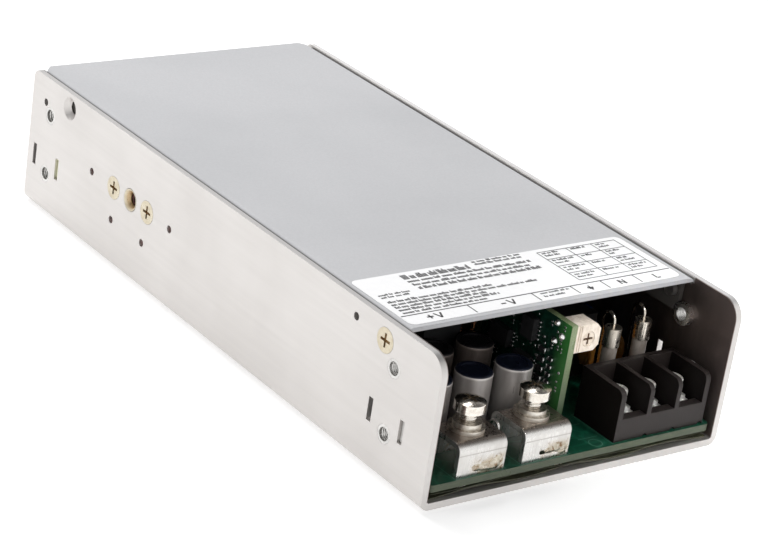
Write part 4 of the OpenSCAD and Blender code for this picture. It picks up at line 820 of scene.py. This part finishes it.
label_piece("label_sheet", label_sheet(), paper())
label_piece("label_rules", label_rules(),
            ink("label_ink", (0.02, 0.02, 0.022), (0.035, 0.035, 0.037)))
label_piece("label_rows", label_rows(),
            ink("label_grey_ink", (0.03, 0.03, 0.032), (0.06, 0.06, 0.063)))


# Threads
def thread(mesh, centre, start, end, r, pitch, depth, steps, axis):
    """A helical ridge on a shank, or in a bore if depth is negative."""
    u, v = centre
    n = int((end - start) / pitch * steps)
    root = -0.03 if depth > 0 else 0.03
    rings = []
    for i in range(n + 1):
        a = math.tau * i / steps
        crest = depth * min(1.0, 4 * i / steps, 4 * (n - i) / steps)
        if depth < 0 and crest >= -0.05:
            crest = root
        ring = []
        for rise, out in ((-0.38, root), (-0.08, crest), (0.08, crest), (0.38, root)):
            p = (u + (r + out) * math.cos(a), v + (r + out) * math.sin(a))
            w = start + pitch * i / steps + rise * pitch
            ring.append((*p, w) if axis == "Z" else (w, *p))
        rings.append(ring)
    loft(mesh, rings, closed=False)


TERMINALS = (-25.1, -7.95)
TERMINAL_Y = -75.45
SHANK_ENDS = (14.65, 16.6)
mesh = bmesh.new()
for x in TERMINALS:
    thread(mesh, (x, TERMINAL_Y), *SHANK_ENDS, r=1.7, pitch=0.6, depth=0.14, steps=28, axis="Z")
piece("terminal_threads", mesh, heads, True)

# Plated seat in the open countersunk hole between the clamp screws: x and radius
SEAT_Y, SEAT_Z = 34.25, 19.2
SEAT = ((-40.46, 2.62), (-39.32, 1.58), (-38.95, 1.50), (-38.95, 1.42), (-39.36, 1.44),
        (-40.49, 2.48))
SEAT_SIDES = 48
mesh = bmesh.new()
angles = [math.tau * i / SEAT_SIDES for i in range(SEAT_SIDES)]
rings = [[(x, SEAT_Y + r * math.cos(a), SEAT_Z + r * math.sin(a)) for a in angles]
         for x, r in SEAT]
loft(mesh, rings + [rings[0]])
piece("middle_seat", mesh, yellow, True)

# Pale tabs that fill one slot of each pair in the left wall: x, growth past the slot, corner
TAB_Y = (-73.5, 67.8)
TAB_Z = (10.6, 15.9)
TAB_HALF = 0.75
TAB = ((-38.6, 0.9, 0.4), (-38.88, 0.9, 0.4), (-38.88, -0.06, 0.2), (-39.7, -0.06, 0.2),
       (-39.8, -0.16, 0.15))
mesh = bmesh.new()
for y in TAB_Y:
    rings = []
    for x, grow, corner in TAB:
        outline = rounded(y - TAB_HALF - grow, TAB_Z[0] - grow, y + TAB_HALF + grow,
                          TAB_Z[1] + grow, corner, 3)
        rings.append([(x, *p) for p in outline])
    capped(mesh, rings)
piece("slot_tabs", mesh, slot_film())

NUT_ENDS = ((-40.1, -37.9), (37.9, 40.1))
NUTS = [(y, z) for y in (-68.3, 72.8) for z in (10.25, 25.1)]
mesh = bmesh.new()
for ends in NUT_ENDS:
    for nut in NUTS:
        thread(mesh, nut, *ends, r=1.5, pitch=0.5, depth=-0.16, steps=20, axis="X")
piece("nut_threads", mesh, bright, True)

# Solder that has run over the fronts of the brackets: x0, x1, its peaks (x, z, their
# half widths, amount), lift and noise seed
BRACKET_FRONT = -81.9
PATCH_Z = (5.4, 9.4)
PATCH_GRID = (40, 24)
PATCHES = (
    (-27.6, -19.4, ((-23.6, 6.6, 2.2, 0.6, 1.0), (-26.3, 6.8, 1.0, 0.7, 1.1),
                    (-21.0, 7.2, 1.2, 1.2, 0.9), (-22.8, 6.0, 2.0, 0.5, 0.6)), 0.3, 3.1),
    (-8.5, -2.2, ((-6.6, 7.2, 1.3, 0.55, 1.0), (-4.6, 7.6, 1.3, 0.9, 1.0),
                  (-3.2, 6.6, 0.8, 1.1, 0.8)), 0.45, 8.4),
)


def solder_patch(mesh, x0, x1, peaks, lift, seed):
    """Rough solder: only the cells of a grid that rise above the bracket are made."""
    nx, nz = PATCH_GRID
    z0, z1 = PATCH_Z
    grid = {}
    for i in range(nx + 1):
        for k in range(nz + 1):
            u, v = i / nx, k / nz
            x, z = x0 + (x1 - x0) * u, z0 + (z1 - z0) * v
            coarse = noise.noise(Vector((x * 0.9, z * 0.9, seed)))
            fine = noise.noise(Vector((x * 2.6, z * 2.6, seed)))
            h = -0.25 + 0.25 * coarse + 0.12 * fine
            for px, pz, sx, sz, amount in peaks:
                h += amount * math.exp(-((x - px) / sx) ** 2 - ((z - pz) / sz) ** 2)
            edge = min(1.0, 6 * min(u, 1 - u, v, 1 - v))
            grid[i, k] = (x, z, h * lift if h < 0 else h * lift * edge)
    made = {}

    def vert(key):
        if key not in made:
            x, z, h = grid[key]
            made[key] = mesh.verts.new((x, BRACKET_FRONT - max(h, -0.05), z))
        return made[key]

    for i in range(nx):
        for k in range(nz):
            keys = ((i, k), (i + 1, k), (i + 1, k + 1), (i, k + 1))
            if max(grid[key][2] for key in keys) > 0:
                mesh.faces.new([vert(key) for key in keys])


mesh = bmesh.new()
for patch in PATCHES:
    solder_patch(mesh, *patch)
piece("bracket_solder", mesh, joint, True)

# Solder joints: the wire link, the trimmer's three legs, the fuses and the control pins
LINK_X = -16.525
LINK_Y = (-75.75, -73.15)
TRIMMER_LEGS = ((-68.7, 28.9), (-70.7, 26.6), (-68.7, 24.7))
FUSES = ((21.5, -64.9), (31.0, -64.0))
PINS = 5
PIN_Y, PIN_Z, PIN_PITCH = -48.2, 7.6, 2.54
mesh = bmesh.new()
for y in LINK_Y:
    lump(mesh, (LINK_X, y, BOARD_TOP), UP, 0.8, 0.55, seed=y, squeeze=1.4)
for k, leg in enumerate(TRIMMER_LEGS):
    lump(mesh, (CONTROL_FACE, *leg), LEFT, 0.85, 0.85, seed=5 + k, squeeze=1.9)
for x, y in FUSES:
    lump(mesh, (x, y, BOARD_TOP), UP, 0.8, 0.5, seed=x, squeeze=1.4)
for i in range(PINS):
    pin = (CONTROL_FACE, PIN_Y - PIN_PITCH * i, PIN_Z)
    lump(mesh, pin, LEFT, 0.75, 0.7, seed=11 + i, squeeze=1.6)
piece("solder_joints", mesh, pads, True)


# Small parts on the boards
def islands(obj):
    """The boxes of a node's separate solids, in millimetres."""
    data = obj.data
    parent = list(range(len(data.vertices)))

    def root(i):
        while parent[i] != i:
            parent[i] = parent[parent[i]]
            i = parent[i]
        return i

    keyed = {}
    for v in data.vertices:
        key = tuple(round(c, 6) for c in v.co)
        if key in keyed:
            parent[root(v.index)] = root(keyed[key])
        keyed[key] = v.index
    for edge in data.edges:
        parent[root(edge.vertices[0])] = root(edge.vertices[1])
    boxes = {}
    for v in data.vertices:
        p = v.co / MM
        low, high = boxes.setdefault(root(v.index), (p.copy(), p.copy()))
        for k in range(3):
            low[k], high[k] = min(low[k], p[k]), max(high[k], p[k])
    return sorted(((tuple(a), tuple(b)) for a, b in boxes.values()),
                  key=lambda box: tuple(round(c, 3) for c in box[0]))


PAD_BACK = CONTROL_FACE + 0.02

# Legs of chips that are larger than LARGE_CHIP, and ends of smaller parts
LARGE_CHIP = 2.6
LEG_FRONT = 1.05
LEG_REACH = 0.75
LEG_LAP = 0.02
LEG_HALF = 0.17
END_HALF = 0.22
END_LAP = 0.03

# Loose pads: how many, the part of the board that they are strewn over, and their size
LOOSE_PADS = 34
LOOSE_Y = (-72.2, -47.0)
LOOSE_Z = (10.5, 28.2)
LOOSE_FRONT = 1.3
LOOSE_HALF_Y, LOOSE_HALF_Z = 0.3, 0.2
LOOSE_PITCH = 0.75
CHIP_CLEAR = 0.8


def pad_block(mesh, x0, y0, y1, z0, z1, chamfer):
    """A small metal end on the control board: a block with its left edges chamfered."""
    def ring(x, inset):
        a, b, c, d = y0 + inset, y1 - inset, z0 + inset, z1 - inset
        return [(x, a, c), (x, b, c), (x, b, d), (x, a, d)]
    capped(mesh, [ring(PAD_BACK, 0), ring(x0 + chamfer, 0), ring(x0, chamfer)])


def chip_pads(mesh, low, high):
    """The legs of a large chip, or the two ends of a small part."""
    (x, y0, z0), (_, y1, z1) = low, high
    if max(y1 - y0, z1 - z0) > LARGE_CHIP:
        legs = max(2, int(z1 - z0))
        for i in range(legs):
            z = z0 + (z1 - z0) * (i + 0.5) / legs
            for ya, yb in ((y0 - LEG_REACH, y0 + LEG_LAP), (y1 - LEG_LAP, y1 + LEG_REACH)):
                pad_block(mesh, LEG_FRONT, ya, yb, z - LEG_HALF, z + LEG_HALF, 0.08)
    elif z1 - z0 >= y1 - y0:
        for z in (z0, z1):
            pad_block(mesh, x - END_LAP, y0 - END_LAP, y1 + END_LAP, z - END_HALF, z + END_HALF,
                      0.06)
    else:
        for y in (y0, y1):
            pad_block(mesh, x - END_LAP, y - END_HALF, y + END_HALF, z0 - END_LAP, z1 + END_LAP,
                      0.06)


def loose_pads(mesh, taken):
    """Vias and bare pads, strewn over what is free of the control board."""
    rng = random.Random(21)
    count = 0
    while count < LOOSE_PADS:
        y, z = rng.uniform(*LOOSE_Y), rng.uniform(*LOOSE_Z)
        if any(a < y < b and c < z < d for a, b, c, d in taken):
            continue
        if rng.random() < 0.5:
            lump(mesh, (CONTROL_FACE, y, z), LEFT, rng.uniform(0.28, 0.42), 0.16, count)
        else:
            for mid in (z, z + LOOSE_PITCH):
                pad_block(mesh, LOOSE_FRONT, y - LOOSE_HALF_Y, y + LOOSE_HALF_Y,
                          mid - LOOSE_HALF_Z, mid + LOOSE_HALF_Z, 0.03)
        taken.append((y - 0.9, y + 0.9, z - 0.9, z + 1.4))
        count += 1


chips = islands(NODES["control_chips"])
mesh = bmesh.new()
for low, high in chips:
    chip_pads(mesh, low, high)
loose_pads(mesh, [(low[1] - CHIP_CLEAR, high[1] + CHIP_CLEAR, low[2] - CHIP_CLEAR,
                   high[2] + CHIP_CLEAR) for low, high in chips])
piece("board_pads", mesh, pads, True)

# Printed outlines on the main board: round the brackets, the input block and the upright board
MARKS_Z = BOARD_TOP + 0.03
FINE_LINE, LINE = 0.16, 0.18
BRACKET_HALF = 6.6
BRACKET_Y = (-82.3, -70.0)
BLOCK_LINE = ((10.6, -82.35), (10.6, -68.2), (37.1, -68.2), (37.1, -82.35))
SHORT_LINES_X = (4.4, 9.8)
SHORT_LINES_Y = (-78.0, -72.2)
CIRCLE_AT = (7.3, -80.4)
DOTS = (-34.6, -1.0, 38.0)
DOTS_Y = -72.0


def ring_mark(mesh, x, y, r, width, steps=40):
    angles = [math.tau * i / steps for i in range(steps + 1)]
    rings = [[(x + radius * math.cos(a), y + radius * math.sin(a), MARKS_Z) for a in angles]
             for radius in (r - width / 2, r + width / 2)]
    loft(mesh, rings, closed=False)


mesh = bmesh.new()
ring_mark(mesh, *CIRCLE_AT, r=1.5, width=0.22)
for x in TERMINALS:
    x0, x1 = x - BRACKET_HALF, x + BRACKET_HALF
    for y in BRACKET_Y:
        stroke(mesh, (x0, y), (x1, y), FINE_LINE, MARKS_Z)
    for x_side in (x0, x1):
        stroke(mesh, *((x_side, y) for y in BRACKET_Y), FINE_LINE, MARKS_Z)
for a, b in zip(BLOCK_LINE, BLOCK_LINE[1:]):
    stroke(mesh, a, b, LINE, MARKS_Z)
for y in SHORT_LINES_Y:
    stroke(mesh, *((x, y) for x in SHORT_LINES_X), LINE, MARKS_Z)
for x in DOTS:
    ring_mark(mesh, x, DOTS_Y, r=0.5, width=0.2)
piece("board_marks", mesh, ink("board_mark_ink", (0.12, 0.26, 0.19), (0.07, 0.19, 0.13)))

# Loose front edge of the film, lifted in waves under the board
EDGE_HALF = 37.6
EDGE_STEPS = 160
EDGE_FRONT = -82.35
EDGE_DEPTH = 4.2
EDGE_CUTS = 8
EDGE_CURL = 1.6
EDGE_TOP, EDGE_TOP_LIFT = 2.68, 0.72
EDGE_UNDER, EDGE_UNDER_LIFT = 2.62, 0.70
mesh = bmesh.new()
rings = []
for i in range(EDGE_STEPS + 1):
    x = -EDGE_HALF + 2 * EDGE_HALF * i / EDGE_STEPS
    wave = 0.5 + 0.5 * math.sin(x * 0.17 + 0.8) * math.sin(x * 0.071 - 0.4)
    upper, lower = [], []
    for k in range(EDGE_CUTS + 1):
        t = k / EDGE_CUTS
        y = EDGE_FRONT + EDGE_DEPTH * t
        lift = wave * (1 - t) ** EDGE_CURL
        upper.append((x, y, EDGE_TOP + EDGE_TOP_LIFT * lift))
        lower.append((x, y, EDGE_UNDER + EDGE_UNDER_LIFT * lift))
    rings.append(upper + lower[::-1])
capped(mesh, rings)
piece("film_edge", mesh, sheet_film, True)

# Studio, in metres
FLOOR_HALF = 6.0
FLOOR_DROP = 0.0002
SKY_HEIGHT = (0.42, 0.85)
SKY_STRENGTH = (1.0, 0.16)
AREA_LIGHTS = (  # name, place, aim, size, watts
    ("key", (-0.75, -0.55, 0.85), (0, 0, 0.02), 0.7, 0.6),
    ("rear", (0.1, 0.75, 1.15), (0, 0, 0), 0.9, 14.8),
)
BAY_LIGHT = ((0.10, -0.33, 0.30), (0.026, -0.078, 0.012))  # place, aim


def lay_floor():
    """A large sheet of pale, faintly glowing paper under the part."""
    mesh = bmesh.new()
    ends = (-FLOOR_HALF, FLOOR_HALF)
    loft(mesh, [[(x, y, 0.0) for x in ends] for y in ends], closed=False)
    data = bpy.data.meshes.new("floor")
    mesh.to_mesh(data)
    mesh.free()
    floor = bpy.data.objects.new("floor", data)
    floor.location.z = -FLOOR_DROP
    bpy.context.scene.collection.objects.link(floor)
    f = Finish("floor_paper", (0.70, 0.70, 0.70), 0.9, emission_color=(1.0, 1.0, 1.0, 1.0),
               emission_strength=0.5)
    f.paint(f.tones(f.noise(60, 2), (0.695, 0.695, 0.695), (0.705, 0.705, 0.705), 0.3, 0.7))
    data.materials.append(f.mat)


def sky():
    """A white world that dims with height."""
    world = bpy.data.worlds.new("studio")
    world.use_nodes = True
    tree = world.node_tree
    back = next(n for n in tree.nodes if n.type == "BACKGROUND")
    back.inputs["Color"].default_value = (1.0, 1.0, 1.0, 1.0)
    coord = tree.nodes.new("ShaderNodeTexCoord")
    split = tree.nodes.new("ShaderNodeSeparateXYZ")
    fade = tree.nodes.new("ShaderNodeMapRange")
    for key, end in zip(("From Min", "From Max", "To Min", "To Max"), SKY_HEIGHT + SKY_STRENGTH):
        fade.inputs[key].default_value = end
    tree.links.new(coord.outputs["Generated"], split.inputs[0])
    tree.links.new(split.outputs[2], fade.inputs["Value"])
    tree.links.new(fade.outputs[0], back.inputs["Strength"])
    bpy.context.scene.world = world


def hang(light, at, aim):
    """Hangs a light at a place and turns it to what it is aimed at."""
    lamp = bpy.data.objects.new(light.name, light)
    lamp.location = at
    lamp.rotation_euler = (Vector(aim) - Vector(at)).to_track_quat("-Z", "Y").to_euler()
    bpy.context.scene.collection.objects.link(lamp)


def lights():
    """A weak key, a rear light, and a narrow beam into the input block's bays."""
    for name, at, aim, size, power in AREA_LIGHTS:
        light = bpy.data.lights.new(name, "AREA")
        light.shape = "SQUARE"
        light.size = size
        light.energy = power
        hang(light, at, aim)
    beam = bpy.data.lights.new("bays", "SPOT")
    beam.energy = 14.0
    beam.spot_size = math.radians(5)
    beam.spot_blend = 1.0
    beam.shadow_soft_size = 0.03
    hang(beam, *BAY_LIGHT)


# Camera, as fitted to the case's edges in the photo: turns in degrees, lens in pixels
CAMERA_AT = (-0.3363, -0.4209, 0.2451)
AZIMUTH, ELEVATION, ROLL = 39.40, 23.56, 8.87
LENS_PX = 2549.5
PHOTO_WIDTH_PX = 768
SENSOR_WIDTH = 36.0


def camera():
    azimuth, elevation, roll = (math.radians(a) for a in (AZIMUTH, ELEVATION, ROLL))
    level = Vector((math.cos(azimuth), -math.sin(azimuth), 0))
    forward = Vector((math.sin(azimuth) * math.cos(elevation),
                      math.cos(azimuth) * math.cos(elevation), -math.sin(elevation)))
    above = level.cross(forward)
    right = math.cos(roll) * level + math.sin(roll) * above
    up = -math.sin(roll) * level + math.cos(roll) * above
    data = bpy.data.cameras.new("camera")
    data.sensor_fit = "HORIZONTAL"
    data.sensor_width = SENSOR_WIDTH
    data.lens = LENS_PX * SENSOR_WIDTH / PHOTO_WIDTH_PX
    cam = bpy.data.objects.new("camera", data)
    turn = Matrix((right, up, -forward)).transposed().to_4x4()
    cam.matrix_world = Matrix.Translation(CAMERA_AT) @ turn
    bpy.context.scene.collection.objects.link(cam)
    bpy.context.scene.camera = cam


lay_floor()
sky()
lights()
camera()
bpy.context.scene.view_settings.view_transform = "Standard"
